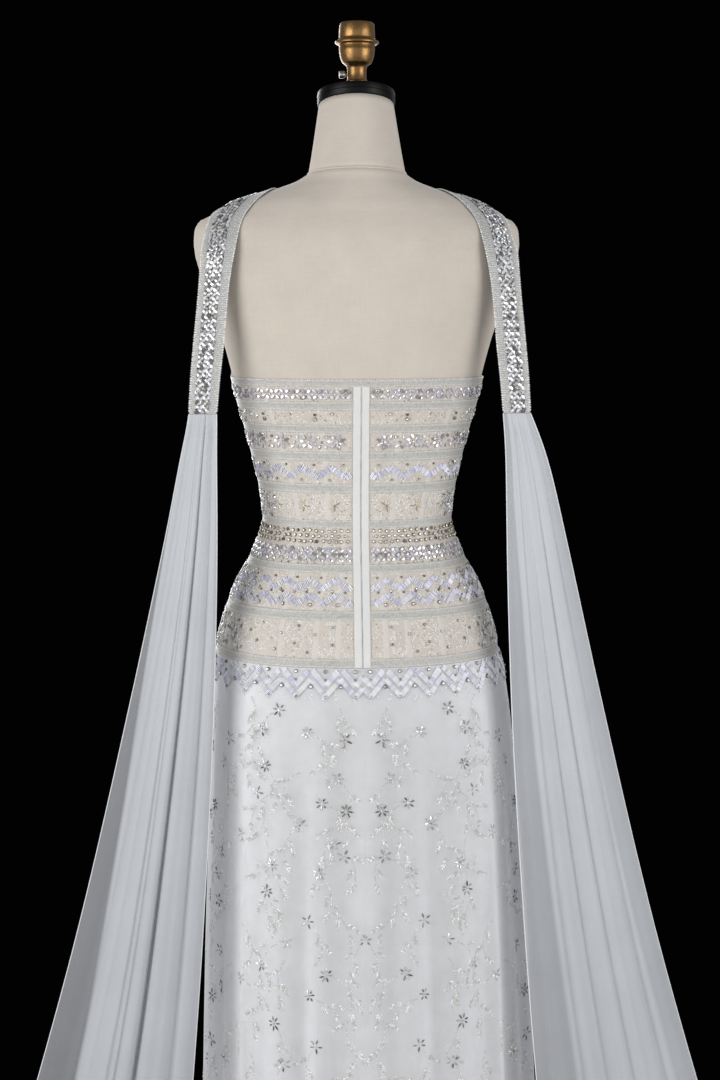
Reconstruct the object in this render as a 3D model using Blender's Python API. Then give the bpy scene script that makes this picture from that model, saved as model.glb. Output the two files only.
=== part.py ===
"""Evening gown with two cape panels, worn by a limbless dress form on a stand.

Metres, +Z up. The gown's front faces -Y and its zip lies at centre back, on +Y.
+X is the wearer's left. The origin is on the floor, under the stand's pole.
"""
import functools
import math
from collections import namedtuple

import bmesh
import bpy

Point2 = namedtuple("Point2", "across rise")

# Clearances
SEAM_GAP = 0.0003          # between two pieces that are sewn or screwed together
HEM_HEIGHT = 0.0010        # hems hang just off the floor
NORMAL_STEP = 0.02         # angle either side of a point between which its normal is taken
HALVINGS = 40              # steps of a search by halving

# Body of the form, one row for each level, read as smooth curves
Section = namedtuple("Section", "height half_width front back squareness")
BODY = (
    Section(0.740, 0.152, 0.108, 0.114, 2.2),
    Section(0.860, 0.166, 0.112, 0.126, 2.2),
    Section(0.935, 0.1700, 0.113, 0.127, 2.2),
    Section(0.9667, 0.1675, 0.1135, 0.123, 2.2),
    Section(0.9913, 0.1615, 0.113, 0.117, 2.2),
    Section(1.039, 0.1440, 0.108, 0.102, 2.2),
    Section(1.0646, 0.1296, 0.103, 0.094, 2.2),
    Section(1.0889, 0.1184, 0.098, 0.087, 2.2),
    Section(1.114, 0.1110, 0.094, 0.082, 2.2),
    Section(1.137, 0.1122, 0.095, 0.082, 2.2),
    Section(1.1616, 0.1165, 0.098, 0.084, 2.2),
    Section(1.2098, 0.1278, 0.106, 0.089, 2.2),
    Section(1.2577, 0.1412, 0.114, 0.095, 2.3),
    Section(1.283, 0.1475, 0.116, 0.0985, 2.3),
    Section(1.310, 0.1543, 0.115, 0.101, 2.3),
    Section(1.332, 0.1605, 0.112, 0.1025, 2.3),
    Section(1.360, 0.170, 0.105, 0.104, 2.3),
    Section(1.400, 0.183, 0.092, 0.103, 2.3),
    Section(1.440, 0.1925, 0.078, 0.097, 2.2),
    Section(1.456, 0.1915, 0.070, 0.092, 2.1),
    Section(1.467, 0.1860, 0.065, 0.087, 2.0),
    Section(1.4745, 0.1710, 0.062, 0.083, 2.0),
    Section(1.4875, 0.1480, 0.057, 0.077, 1.9),
    Section(1.497, 0.1190, 0.054, 0.071, 1.9),
    Section(1.5055, 0.0945, 0.051, 0.066, 1.9),
    Section(1.514, 0.0715, 0.050, 0.061, 1.9),
    Section(1.522, 0.0575, 0.049, 0.056, 2.0),
)
BODY_SEGMENTS = 32
TORSO_LEVELS_BELOW = (0.740, 0.800, 0.870, 0.920)
TORSO_LEVELS_CHEST = (1.275, 1.291, 1.307, 1.324, 1.345, 1.375, 1.410, 1.440, 1.456)
TORSO_LEVELS_SHOULDER = (1.466, 1.474, 1.484, 1.497, 1.510, 1.522)
BUST_HEIGHT = 1.268
BUST_ACROSS = 0.076
BUST_SPREAD = 0.050
BUST_RISE = 0.052
BUST_DEPTH = 0.016

# Neck, cap and finial of the form
NECK_TOP = 1.603
NECK_TOP_RADIUS = 0.0442
NECK_TOP_SLOPE = 0.22      # the cap's plane falls this much for each metre to the front
NECK_FOOT_SLOPE = 0.09
NECK_LEAN = 0.016          # how far forward the neck's top stands of its foot
NECK_LEVELS = 4
NECK_FLARE = 0.90
CAP_HEIGHT = 0.014
CAP_RADIUS = 0.0458
CAP_DOME = 0.0045
CAP_EDGE = 0.0015
CAP_SHOULDER = Point2(0.75, 0.60)
CAP_SEAT_RADIUS = 0.016
CAP_SEAT_RISE = 0.006      # level seat for the finial over the dome

# Finial: (radius, rise over its foot) of each turn of the profile
Turned = namedtuple("Turned", "radius rise")
FINIAL = (
    Turned(0.0135, 0.0000),
    Turned(0.0135, 0.0020),
    Turned(0.0112, 0.0030),
    Turned(0.0112, 0.0195),
    Turned(0.0165, 0.0230),
    Turned(0.0200, 0.0300),
    Turned(0.0210, 0.0380),
    Turned(0.0210, 0.0435),
    Turned(0.0255, 0.0450),
    Turned(0.0258, 0.0470),
    Turned(0.0215, 0.0500),
    Turned(0.0210, 0.0520),
    Turned(0.0203, 0.0655),
    Turned(0.0185, 0.0685),
    Turned(0.0150, 0.0685),
    Turned(0.0140, 0.0665),
)
FINIAL_SEGMENTS = 20

# Clamp screw at the side of the finial's neck: (radius, distance out of the finial's axis)
SCREW_RISE = 0.0095
SCREW = (
    Turned(0.0016, 0.0116),
    Turned(0.0016, 0.0153),
    Turned(0.0042, 0.0158),
    Turned(0.0042, 0.0208),
    Turned(0.0030, 0.0223),
)
SCREW_SEGMENTS = 12

# Stand under the skirt
TORSO_FOOT = BODY[0].height
FLANGE_RADIUS = 0.050
FLANGE_THICKNESS = 0.010
POLE_RADIUS = 0.011
BASE_RADIUS = 0.135
BASE_EDGE = 0.008
BASE_TOP = 0.016
HUB_RADIUS = 0.022
HUB_TOP = 0.045
BASE_DISH = 0.030          # width of the base's rising part round the hub
HUB_FILLET = Point2(0.006, 0.008)
ROUND_EDGE = 0.002
ROUND_SEGMENTS = 24

# Bodice: cloth wall over the form, and the trimmed bands from the top edge to the hip seam
BODICE_INSIDE = 0.0008
BODICE_WALL = 0.0014
RELIEF = {"ribbon": 0.0010, "crystals": 0.0014, "zigzag": 0.0006, "panel": 0.0}
Band = namedtuple("Band", "bottom kind")
BODICE_TOP = 1.2855
BANDS = (
    Band(1.2776, "ribbon"),
    Band(1.2605, "crystals"),
    Band(1.2502, "ribbon"),
    Band(1.2335, "panel"),
    Band(1.2243, "ribbon"),
    Band(1.2024, "crystals"),
    Band(1.1915, "ribbon"),
    Band(1.1648, "zigzag"),
    Band(1.1538, "ribbon"),
    Band(1.1222, "panel"),
    Band(1.1128, "ribbon"),
    Band(1.0719, "crystals"),
    Band(1.0621, "ribbon"),
    Band(1.0200, "zigzag"),
    Band(1.0092, "ribbon"),
    Band(0.9666, "panel"),
    Band(0.9561, "ribbon"),
)
HIP_SEAM = BANDS[-1].bottom
BAND_STEP = 0.0004         # half the height over which a band's edge rises
TALL_BAND = 0.026          # a band taller than this gets a row at its middle
LIFT_FROM = BANDS[1].bottom
NECKLINE_RISE = 0.050      # the front top edge over the back one
NECKLINE_DIP = 0.022
NECKLINE_DIP_WIDTH = 0.18  # of a quarter turn
NECKLINE_RAMP = 0.55       # share of a quarter turn over which the edge rises from the side seam
INNER_STEP = 0.030         # between the plain inner rows
RAISED_ROWS = 5            # inner rows of the part that rises to the neckline
PLACKET_SEAT_EDGE = 0.001  # between the flat seat of a placket strip and the raised bands

# Placket at centre back, beside the zip
PLACKET_INNER = 0.0014
PLACKET_OUTER = 0.0094
PLACKET_WALL = 0.0011
PLACKET_LEVELS = 14
ZIP_HALF_WIDTH = 0.0008
ZIP_WALL = 0.0010

# Skirt: the sheer overlay's mean outline below the hip seam
SKIRT = (
    Section(0.000, 0.2150, 0.192, 0.224, 2.2),
    Section(0.300, 0.2040, 0.174, 0.195, 2.2),
    Section(0.600, 0.1940, 0.156, 0.168, 2.2),
    Section(0.800, 0.1835, 0.139, 0.148, 2.2),
    Section(0.900, 0.1765, 0.126, 0.137, 2.2),
)
SKIRT_SWAY = 0.020         # of the sides towards the wearer's right, at one metre below the seam
LAYER_WALL = 0.0010
LINING_START = 0.0010      # inside of the lining over the form at the hip seam
OVERLAY_START = LINING_START + LAYER_WALL + SEAM_GAP
LAYER_SPREAD = 0.030       # how far the layers part for each metre below the seam
OVERLAY_FOLD = 0.0105      # fold depth for each metre below the seam
LINING_FOLD = 0.0070
OVERLAY_FOLDS = 24
LINING_FOLDS = 16
FOLD_SAMPLES = 4
FOLD_UNEVEN = 0.022        # how far along its panel a fold may be shifted
FOLD_DEPTHS = 0.22         # share of the depth by which one fold differs from another
FOLD_STEP = 2.3            # phase between neighbouring folds' depths
LINING_PHASE = 1.0
OVERLAY_PHASE = 1.8
FRONT_PHASE = 1.7
OVERLAY_LEVELS = (0.910, 0.820, 0.660, 0.460, 0.230)
LINING_LEVELS = (0.890, 0.760, 0.540, 0.280)

# Shoulder bands, for the wearer's left, as seen down the route from the front neckline
OnForm = namedtuple("OnForm", "inner_across inner_turn outer_across outer_turn")
BAND_ON_FORM = (
    OnForm(0.036, -96, 0.071, -100),
    OnForm(0.052, -70, 0.088, -78),
    OnForm(0.071, -42, 0.108, -56),
    OnForm(0.087, -18, 0.129, -34),
    OnForm(0.100, 4, 0.151, -13),
    OnForm(0.116, 22, 0.167, 8),
    OnForm(0.129, 34, 0.175, 27),
    OnForm(0.137, 44, 0.179, 42),
)
Free = namedtuple("Free", "height inner_across inner_depth outer_across outer_depth")
BAND_FREE = (
    Free(1.434, 0.1430, 0.0800, 0.1812, 0.0690),
    Free(1.410, 0.1478, 0.0815, 0.1828, 0.0725),
    Free(1.383, 0.1518, 0.0820, 0.1850, 0.0745),
    Free(1.325, 0.1572, 0.0810, 0.1912, 0.0755),
    Free(1.285, 0.1622, 0.0800, 0.1950, 0.0765),
    Free(1.246, 0.1660, 0.0785, 0.1975, 0.0770),
)
BAND_START_INNER = 0.022
BAND_START_OUTER = 0.058
BAND_INSIDE = 0.0010
BAND_WALL = 0.0016
BAND_LEVELS = 3            # stations between two rows of the tables
RAY_HEIGHT = 1.400         # level inside the chest from which the torso is measured
RAY_REACH = 0.3
BandRidge = namedtuple("BandRidge", "across rise")
BAND_RIDGES = (
    BandRidge(0.00, 0.0008),
    BandRidge(0.10, 0.0002),
    BandRidge(0.30, 0.0004),
    BandRidge(0.50, 0.0014),
    BandRidge(0.70, 0.0004),
    BandRidge(0.90, 0.0002),
    BandRidge(1.00, 0.0008),
)

# Cape panels: gathered under the shoulder bands, flaring to the floor
Cape = namedtuple("Cape", "height inner outer depth fold wrap")
CAPE = (
    Cape(0.001, 0.2450, 0.5250, 0.205, 0.0190, 0.120),
    Cape(0.320, 0.2155, 0.4330, 0.169, 0.0160, 0.095),
    Cape(0.640, 0.1895, 0.3420, 0.134, 0.0125, 0.066),
    Cape(0.911, 0.1743, 0.2768, 0.106, 0.0085, 0.040),
    Cape(1.098, 0.1689, 0.2344, 0.091, 0.0048, 0.021),
    Cape(1.191, 0.1680, 0.2133, 0.082, 0.0019, 0.006),
    Cape(1.2457, 0.1660, 0.1975, 0.0785, 0.0006, 0.000),
)
CAPE_SWAY = 0.0072         # of the outer edges towards the wearer's right
CAPE_SWAY_DROP = 0.050     # the drop below the band over which most of the sway comes
CAPE_WALL = 0.0010
CAPE_BOW = 0.35            # share of the width where the panel stands furthest back
CAPE_INNER_SWAY = 0.3      # share of the sway that the inner edge has

# Each cape's folds from its inner edge to its outer one: broad flats between narrow creases
Crease = namedtuple("Crease", "share rise")
LEFT_CAPE_FOLDS = (
    Crease(0.000, 0.1),
    Crease(0.070, 0.8),
    Crease(0.155, -0.7),
    Crease(0.240, 0.7),
    Crease(0.340, 0.6),
    Crease(0.405, -1.0),
    Crease(0.470, 0.6),
    Crease(0.570, 0.5),
    Crease(0.630, -0.4),
    Crease(0.690, 0.7),
    Crease(0.800, 0.9),
    Crease(0.900, -0.3),
    Crease(1.000, -0.9),
)
RIGHT_CAPE_FOLDS = (
    Crease(0.000, -0.2),
    Crease(0.100, -0.6),
    Crease(0.170, -0.3),
    Crease(0.240, 1.0),
    Crease(0.300, 0.4),
    Crease(0.360, -0.8),
    Crease(0.430, 0.6),
    Crease(0.500, 0.5),
    Crease(0.540, -0.3),
    Crease(0.610, 0.7),
    Crease(0.740, 0.8),
    Crease(0.810, -0.7),
    Crease(0.880, 0.5),
    Crease(1.000, -0.3),
)


def clear_scene():
    """Remove every object that the new file starts with."""
    for item in list(bpy.data.objects):
        bpy.data.objects.remove(item, do_unlink=True)


def make_material(name, colour, roughness, metallic=0.0):
    """Principled material with one colour, roughness and metallic value."""
    material = bpy.data.materials.new(name)
    material.use_nodes = True
    shader = material.node_tree.nodes["Principled BSDF"]
    shader.inputs["Base Color"].default_value = (*colour, 1.0)
    shader.inputs["Roughness"].default_value = roughness
    shader.inputs["Metallic"].default_value = metallic
    return material


def make_object(name, bm, material, smooth_angle=40.0):
    """Close a bmesh into a named object with its faces pointing out."""
    bmesh.ops.recalc_face_normals(bm, faces=bm.faces)
    mesh = bpy.data.meshes.new(name)
    bm.to_mesh(mesh)
    bm.free()
    mesh.materials.append(material)
    mesh.shade_smooth()
    mesh.set_sharp_from_angle(angle=math.radians(smooth_angle))
    item = bpy.data.objects.new(name, mesh)
    bpy.context.scene.collection.objects.link(item)
    return item


def curve_value(points, at):
    """Read a smooth curve, with no overshoot, through (place, value) points in rising order."""
    if at <= points[0][0]:
        return points[0][1]
    if at >= points[-1][0]:
        return points[-1][1]
    slopes = [(b[1] - a[1]) / (b[0] - a[0]) for a, b in zip(points, points[1:])]

    def tangent(i):
        if i == 0:
            return slopes[0]
        if i == len(slopes):
            return slopes[-1]
        before, after = slopes[i - 1], slopes[i]
        if before * after <= 0.0:
            return 0.0
        return 2.0 * before * after / (before + after)

    i = next(k for k in range(len(slopes)) if at <= points[k + 1][0])
    span = points[i + 1][0] - points[i][0]
    t = (at - points[i][0]) / span
    start, end = points[i][1], points[i + 1][1]
    return (
        (2 * t**3 - 3 * t**2 + 1) * start
        + (t**3 - 2 * t**2 + t) * span * tangent(i)
        + (3 * t**2 - 2 * t**3) * end
        + (t**3 - t**2) * span * tangent(i + 1)
    )


@functools.lru_cache(maxsize=None)
def row_at(rows, place):
    """Row of a table at any value of its first column, every other column on a smooth curve."""
    values = [curve_value([(row[0], row[i]) for row in rows], place) for i in range(1, len(rows[0]))]
    return type(rows[0])(place, *values)


def bust(across, height):
    """How far the bust stands out of the plain section, towards the front."""
    side = (abs(across) - BUST_ACROSS) / BUST_SPREAD
    level = (height - BUST_HEIGHT) / BUST_RISE
    return BUST_DEPTH * math.exp(-side * side - level * level)


def ring(section, turn):
    """Point of a section at an angle from centre back towards the wearer's left."""
    across, along = math.sin(turn), math.cos(turn)
    power = 2.0 / section.squareness
    depth = section.back if along > 0.0 else section.front
    x = section.half_width * math.copysign(abs(across) ** power, across)
    y = depth * math.copysign(abs(along) ** power, along)
    return x, y


def body_ring(height, turn):
    """Point of the form's surface at one level."""
    x, y = ring(row_at(BODY, height), turn)
    if y < 0.0:
        y -= bust(x, height)
    return x, y


def moved_out(outline, turn, out):
    """Point of an outline, moved out along the outline's own normal."""
    x0, y0 = outline(turn - NORMAL_STEP)
    x1, y1 = outline(turn + NORMAL_STEP)
    length = math.hypot(x1 - x0, y1 - y0)
    x, y = outline(turn)
    return x - (y1 - y0) / length * out, y + (x1 - x0) / length * out


def body_point(height, turn, out=0.0):
    """Point over the form's surface at one level."""
    x, y = moved_out(functools.partial(body_ring, height), turn, out)
    return x, y, height


def turn_beside(outline, turn, distance):
    """Angle at which an outline is a given small distance past one of its points."""
    x0, y0 = outline(turn)
    low, high = 0.0, math.pi / 6.0
    for _ in range(HALVINGS):
        middle = (low + high) / 2.0
        x, y = outline(turn + math.copysign(middle, distance))
        if math.hypot(x - x0, y - y0) < abs(distance):
            low = middle
        else:
            high = middle
    return turn + math.copysign(low, distance)


def join_chains(bm, first, second):
    """Fill the strip between two chains of vertices that may differ in number."""
    i = j = 0
    while i < len(first) - 1 or j < len(second) - 1:
        step_first = j == len(second) - 1 or (
            i < len(first) - 1 and (i + 1) / (len(first) - 1) <= (j + 1) / (len(second) - 1)
        )
        if step_first:
            bm.faces.new((first[i], first[i + 1], second[j]))
            i += 1
        else:
            bm.faces.new((first[i], second[j + 1], second[j]))
            j += 1


def add_grid(bm, rows):
    """Add rows of points as vertices, with a face in each cell."""
    made = [[bm.verts.new(point) for point in row] for row in rows]
    for lower, upper in zip(made, made[1:]):
        for i in range(len(lower) - 1):
            bm.faces.new((lower[i], lower[i + 1], upper[i + 1], upper[i]))
    return made


def make_wall(name, outside, inside, material):
    """Closed cloth wall between an outer and an inner grid, each a list of rows."""
    bm = bmesh.new()
    outer = add_grid(bm, outside)
    inner = add_grid(bm, inside)
    join_chains(bm, outer[0], inner[0])
    join_chains(bm, outer[-1], inner[-1])
    join_chains(bm, [row[0] for row in outer], [row[0] for row in inner])
    join_chains(bm, [row[-1] for row in outer], [row[-1] for row in inner])
    return make_object(name, bm, material)


def make_loft(name, rings, material, smooth_angle=40.0):
    """Closed solid through rings of points, with a flat face at each end."""
    bm = bmesh.new()
    made = [[bm.verts.new(point) for point in points] for points in rings]
    count = len(made[0])
    for lower, upper in zip(made, made[1:]):
        for i in range(count):
            k = (i + 1) % count
            bm.faces.new((lower[i], lower[k], upper[k], upper[i]))
    bm.faces.new(made[0])
    bm.faces.new(made[-1])
    return make_object(name, bm, material, smooth_angle)


def round_ring(radius, height, segments=ROUND_SEGMENTS):
    """Level circle about the pole's axis."""
    turns = [2.0 * math.pi * i / segments for i in range(segments)]
    return [(radius * math.cos(turn), radius * math.sin(turn), height) for turn in turns]


def make_turned(name, profile, material, segments=ROUND_SEGMENTS):
    """Round solid about the pole's axis, from (radius, height) pairs."""
    return make_loft(name, [round_ring(r, z, segments) for r, z in profile], material, 30.0)


def even_turns(count):
    """Angles all round, evenly spaced."""
    return [2.0 * math.pi * i / count for i in range(count)]


def inner_levels():
    """Heights of the bodice's plain inner rows, which the form's rows share."""
    count = math.ceil((LIFT_FROM - HIP_SEAM) / INNER_STEP)
    return [HIP_SEAM + (LIFT_FROM - HIP_SEAM) * i / count for i in range(count + 1)]


def build_torso(material):
    """Smooth torso of the form, from its foot to the seam of the neck."""
    levels = [*TORSO_LEVELS_BELOW, *inner_levels(), *TORSO_LEVELS_CHEST, *TORSO_LEVELS_SHOULDER]
    rings = [[body_point(z, turn) for turn in even_turns(BODY_SEGMENTS)] for z in levels]
    foot = BODY[-1].height
    rings[-1] = [(x, y, foot + NECK_FOOT_SLOPE * y) for x, y, _ in rings[-1]]
    return make_loft("form_torso", rings, material, 60.0)


def neck_ring(share):
    """Ring of the neck, from its foot at 0 to its top at 1."""
    foot = BODY[-1]
    narrowing = share**NECK_FLARE
    height = foot.height + SEAM_GAP + (NECK_TOP - foot.height) * share
    slope = NECK_FOOT_SLOPE + (NECK_TOP_SLOPE - NECK_FOOT_SLOPE) * share
    points = []
    for turn in even_turns(BODY_SEGMENTS):
        x, y = ring(foot, turn)
        x += (NECK_TOP_RADIUS * math.sin(turn) - x) * narrowing
        y += (NECK_TOP_RADIUS * math.cos(turn) - y) * narrowing
        points.append((x, y - NECK_LEAN * share, height + slope * y))
    return points


def build_neck(material):
    """Neck of the form, leaning forward, with its top sloping to the front."""
    rings = [neck_ring(i / NECK_LEVELS) for i in range(NECK_LEVELS + 1)]
    return make_loft("form_neck", rings, material, 60.0)


def cap_ring(radius, rise):
    """Ring of the neck cap, parallel to the neck's sloping top."""
    points = []
    for turn in even_turns(BODY_SEGMENTS):
        x, y = radius * math.sin(turn), radius * math.cos(turn)
        height = NECK_TOP + 2.0 * SEAM_GAP + rise + NECK_TOP_SLOPE * y
        points.append((x, y - NECK_LEAN, height))
    return points


def build_cap(material):
    """Metal cap on the neck, with a level seat for the finial."""
    shoulder = (CAP_RADIUS * CAP_SHOULDER.across, CAP_HEIGHT + CAP_DOME * CAP_SHOULDER.rise)
    rings = [
        cap_ring(CAP_RADIUS - CAP_EDGE, 0.0),
        cap_ring(CAP_RADIUS, CAP_EDGE),
        cap_ring(CAP_RADIUS, CAP_HEIGHT - CAP_EDGE),
        cap_ring(CAP_RADIUS - CAP_EDGE, CAP_HEIGHT),
        cap_ring(*shoulder),
    ]
    seat = []
    for turn in even_turns(BODY_SEGMENTS):
        x, y = CAP_SEAT_RADIUS * math.sin(turn), CAP_SEAT_RADIUS * math.cos(turn)
        seat.append((x, y, finial_foot() - SEAM_GAP))
    rings.append(seat)
    return make_loft("neck_cap", rings, material, 25.0)


def finial_foot():
    """Height of the finial's foot over the cap."""
    return NECK_TOP + CAP_HEIGHT + CAP_DOME + CAP_SEAT_RISE


def build_finial(material):
    """Turned brass finial: neck, cup, ring and top."""
    profile = [(radius, finial_foot() + rise) for radius, rise in FINIAL]
    return make_turned("finial", profile, material, FINIAL_SEGMENTS)


def build_screw(material):
    """Clamp screw at the side of the finial's neck, with a round head."""
    axis_height = finial_foot() + SCREW_RISE
    turns = even_turns(SCREW_SEGMENTS)
    rings = []
    for radius, out in SCREW:
        rings.append([(out, radius * math.cos(t), axis_height + radius * math.sin(t)) for t in turns])
    return make_loft("clamp_screw", rings, material, 30.0)


def build_stand(metal, iron):
    """Flange under the torso, pole, and round base with a flat underside."""
    flange_foot = TORSO_FOOT - SEAM_GAP - FLANGE_THICKNESS
    flange = (
        (FLANGE_RADIUS - ROUND_EDGE, flange_foot),
        (FLANGE_RADIUS, flange_foot + ROUND_EDGE),
        (FLANGE_RADIUS, flange_foot + FLANGE_THICKNESS),
    )
    make_turned("stand_flange", flange, metal)
    pole = ((POLE_RADIUS, HUB_TOP + SEAM_GAP), (POLE_RADIUS, flange_foot - SEAM_GAP))
    make_turned("stand_pole", pole, metal)
    base = (
        (BASE_RADIUS, 0.0),
        (BASE_RADIUS, BASE_EDGE - ROUND_EDGE),
        (BASE_RADIUS - ROUND_EDGE, BASE_EDGE),
        (HUB_RADIUS + BASE_DISH, BASE_TOP - ROUND_EDGE),
        (HUB_RADIUS + HUB_FILLET.across, BASE_TOP),
        (HUB_RADIUS, BASE_TOP + HUB_FILLET.rise),
        (HUB_RADIUS, HUB_TOP - ROUND_EDGE),
        (HUB_RADIUS - ROUND_EDGE, HUB_TOP),
    )
    make_turned("stand_base", base, iron)


def neckline_lift(turn):
    """How far the front top edge stands over the back one at an angle."""
    share = abs(turn - math.pi) / (math.pi / 2.0)
    if share >= 1.0:
        return 0.0
    ramp = min(max((1.0 - share) / NECKLINE_RAMP, 0.0), 1.0)
    rise = ramp * ramp * (3.0 - 2.0 * ramp)
    return NECKLINE_RISE * rise - NECKLINE_DIP * math.exp(-((share / NECKLINE_DIP_WIDTH) ** 2))


def lifted(height, turn):
    """Height of a bodice row at an angle, with the front raised to the neckline."""
    if height <= LIFT_FROM:
        return height
    return height + neckline_lift(turn) * (height - LIFT_FROM) / (BODICE_TOP - LIFT_FROM)


def relief_rows():
    """(height, relief) of the bodice's outer rows, from the hip seam up."""
    rows = []
    top = BODICE_TOP
    for number, band in enumerate(BANDS):
        rise = RELIEF[band.kind]
        upper = top if number == 0 else top - BAND_STEP
        lower = band.bottom if number == len(BANDS) - 1 else band.bottom + BAND_STEP
        rows.append((upper, rise))
        if upper - lower > TALL_BAND:
            rows.append(((upper + lower) / 2.0, rise))
        rows.append((lower, rise))
        top = band.bottom
    return rows[::-1]


def bodice_turns(height, first, last):
    """Angles of a bodice panel's columns at one level, from seam to seam, every body column."""
    outline = functools.partial(body_ring, height)
    step = 2.0 * math.pi / BODY_SEGMENTS
    inner = [step * i for i in range(round(first / step) + 1, round(last / step))]
    start = turn_beside(outline, first, SEAM_GAP / 2.0)
    end = turn_beside(outline, last, -SEAM_GAP / 2.0)
    if abs(first) < step / 2.0:
        seat = PLACKET_OUTER + SEAM_GAP
        near = [turn_beside(outline, first, across) for across in (seat, seat + PLACKET_SEAT_EDGE)]
        inner = near + inner
    return [start, *inner, end]


def build_bodice_panel(name, first, last, side, material):
    """Bodice panel between two seams, with its bands raised on the outside.

    A panel of the wearer's right is the left one's mirror image, so side is 1 or -1.
    """
    seat_columns = 2 if first == 0.0 else 0

    def row(height, rise):
        points = []
        for i, turn in enumerate(bodice_turns(height, first, last)):
            over = min(rise, BODICE_WALL) if i < seat_columns else rise
            x, y, z = body_point(lifted(height, turn), turn, BODICE_INSIDE + over)
            points.append((side * x, y, z))
        return points

    outside = [row(height, BODICE_WALL + rise) for height, rise in relief_rows()]
    raised = [LIFT_FROM + (BODICE_TOP - LIFT_FROM) * (i + 1) / RAISED_ROWS for i in range(RAISED_ROWS)]
    inside = [row(height, 0.0) for height in [*inner_levels(), *raised]]
    return make_wall(name, outside, inside, material)


def build_bodice(material):
    """Front and both backs of the bodice."""
    quarter = math.pi / 2.0
    build_bodice_panel("bodice_front", quarter, 3.0 * quarter, 1, material)
    build_bodice_panel("bodice_back_left", 0.0, quarter, 1, material)
    build_bodice_panel("bodice_back_right", 0.0, quarter, -1, material)


def strip_levels():
    """Heights of the rows of the placket and the zip."""
    length = BANDS[0].bottom - HIP_SEAM
    return [HIP_SEAM + SEAM_GAP + length * i / PLACKET_LEVELS for i in range(PLACKET_LEVELS + 1)]


def build_back_strip(name, edges, over, wall, material):
    """Narrow strip on the centre back, between two distances across from the centre."""

    def rows(out):
        made = []
        for height in strip_levels():
            y = body_ring(height, 0.0)[1] + out
            made.append([(across, y, height) for across in edges])
        return made

    return make_wall(name, rows(over + wall), rows(over), material)


def build_placket(cloth, zip_material):
    """Two placket strips on the back panels, and the zip between them."""
    over = BODICE_INSIDE + BODICE_WALL + SEAM_GAP
    build_back_strip("placket_left", (PLACKET_INNER, PLACKET_OUTER), over, PLACKET_WALL, cloth)
    build_back_strip("placket_right", (-PLACKET_OUTER, -PLACKET_INNER), over, PLACKET_WALL, cloth)
    build_back_strip("zip", (-ZIP_HALF_WIDTH, ZIP_HALF_WIDTH), over, ZIP_WALL, zip_material)


def skirt_section(height):
    """Mean section of the skirt below the hip seam, starting from the form's own."""
    hip = row_at(BODY, HIP_SEAM)
    return row_at((*SKIRT, Section(*hip)), height)


def skirt_point(height, turn, wave, layer, out):
    """Point of a skirt layer: its start over the form, its part of the spread, and its fold."""
    drop = HIP_SEAM - height
    start, inward, fold = layer
    offset = start - inward * drop + fold * drop * wave + out
    section = skirt_section(height)
    x, y = moved_out(functools.partial(ring, section), turn, offset)
    sway = SKIRT_SWAY * math.sqrt(max(drop, 0.0)) * abs(x) / section.half_width
    return x - sway, y, height


def fold_columns(folds, drift):
    """(share of the panel, wave) of each column, uneven in width and depth, with a ridge on each seam."""
    count = folds * FOLD_SAMPLES
    columns = []
    for i in range(count + 1):
        share = i / count
        inside = 4.0 * share * (1.0 - share)
        uneven = FOLD_UNEVEN * math.sin(4.0 * math.pi * share + drift) * inside
        shallow = FOLD_DEPTHS * inside * (1.0 + math.sin(FOLD_STEP * (i // FOLD_SAMPLES) + drift))
        columns.append((share + uneven, (1.0 - shallow) * math.cos(2.0 * math.pi * folds * share)))
    return columns


def build_skirt_panel(name, seams, columns, layer, levels, material):
    """One panel of a skirt layer, between two seams."""
    first, last = seams
    heights = [HEM_HEIGHT, *sorted(levels), HIP_SEAM - SEAM_GAP]

    def rows(out):
        made = []
        for height in heights:
            outline = functools.partial(ring, skirt_section(height))
            start = turn_beside(outline, first, SEAM_GAP / 2.0)
            end = turn_beside(outline, last, -SEAM_GAP / 2.0)
            turns = [start, *[first + (last - first) * share for share, _ in columns[1:-1]], end]
            waves = [wave for _, wave in columns]
            made.append([skirt_point(height, t, w, layer, out) for t, w in zip(turns, waves)])
        return made

    return make_wall(name, rows(LAYER_WALL), rows(0.0), material)


def build_skirt(lining, tulle):
    """Opaque lining and the sheer overlay outside it, each a front and two backs."""
    quarter = math.pi / 2.0
    inner = (LINING_START, LAYER_SPREAD, LINING_FOLD)
    outer = (OVERLAY_START, 0.0, OVERLAY_FOLD)
    layers = (
        ("lining", LINING_FOLDS, LINING_PHASE, inner, LINING_LEVELS, lining),
        ("overlay", OVERLAY_FOLDS, OVERLAY_PHASE, outer, OVERLAY_LEVELS, tulle),
    )
    for name, folds, phase, layer, levels, cloth in layers:
        front = fold_columns(folds // 2, phase + FRONT_PHASE)
        left = fold_columns(folds // 4, phase)
        right = [(1.0 - share, wave) for share, wave in reversed(left)]
        build_skirt_panel(name + "_front", (quarter, 3.0 * quarter), front, layer, levels, cloth)
        build_skirt_panel(name + "_back_left", (0.0, quarter), left, layer, levels, cloth)
        build_skirt_panel(name + "_back_right", (3.0 * quarter, 4.0 * quarter), right, layer, levels, cloth)


def inside_form(x, y, z):
    """Whether a point lies inside the form's torso."""
    if z >= BODY[-1].height:
        return False
    section = row_at(BODY, z)
    depth = section.back if y > 0.0 else section.front
    reach = abs(y) - (bust(x, z) if y < 0.0 else 0.0)
    power = section.squareness
    return (abs(x) / section.half_width) ** power + (max(reach, 0.0) / depth) ** power < 1.0


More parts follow.
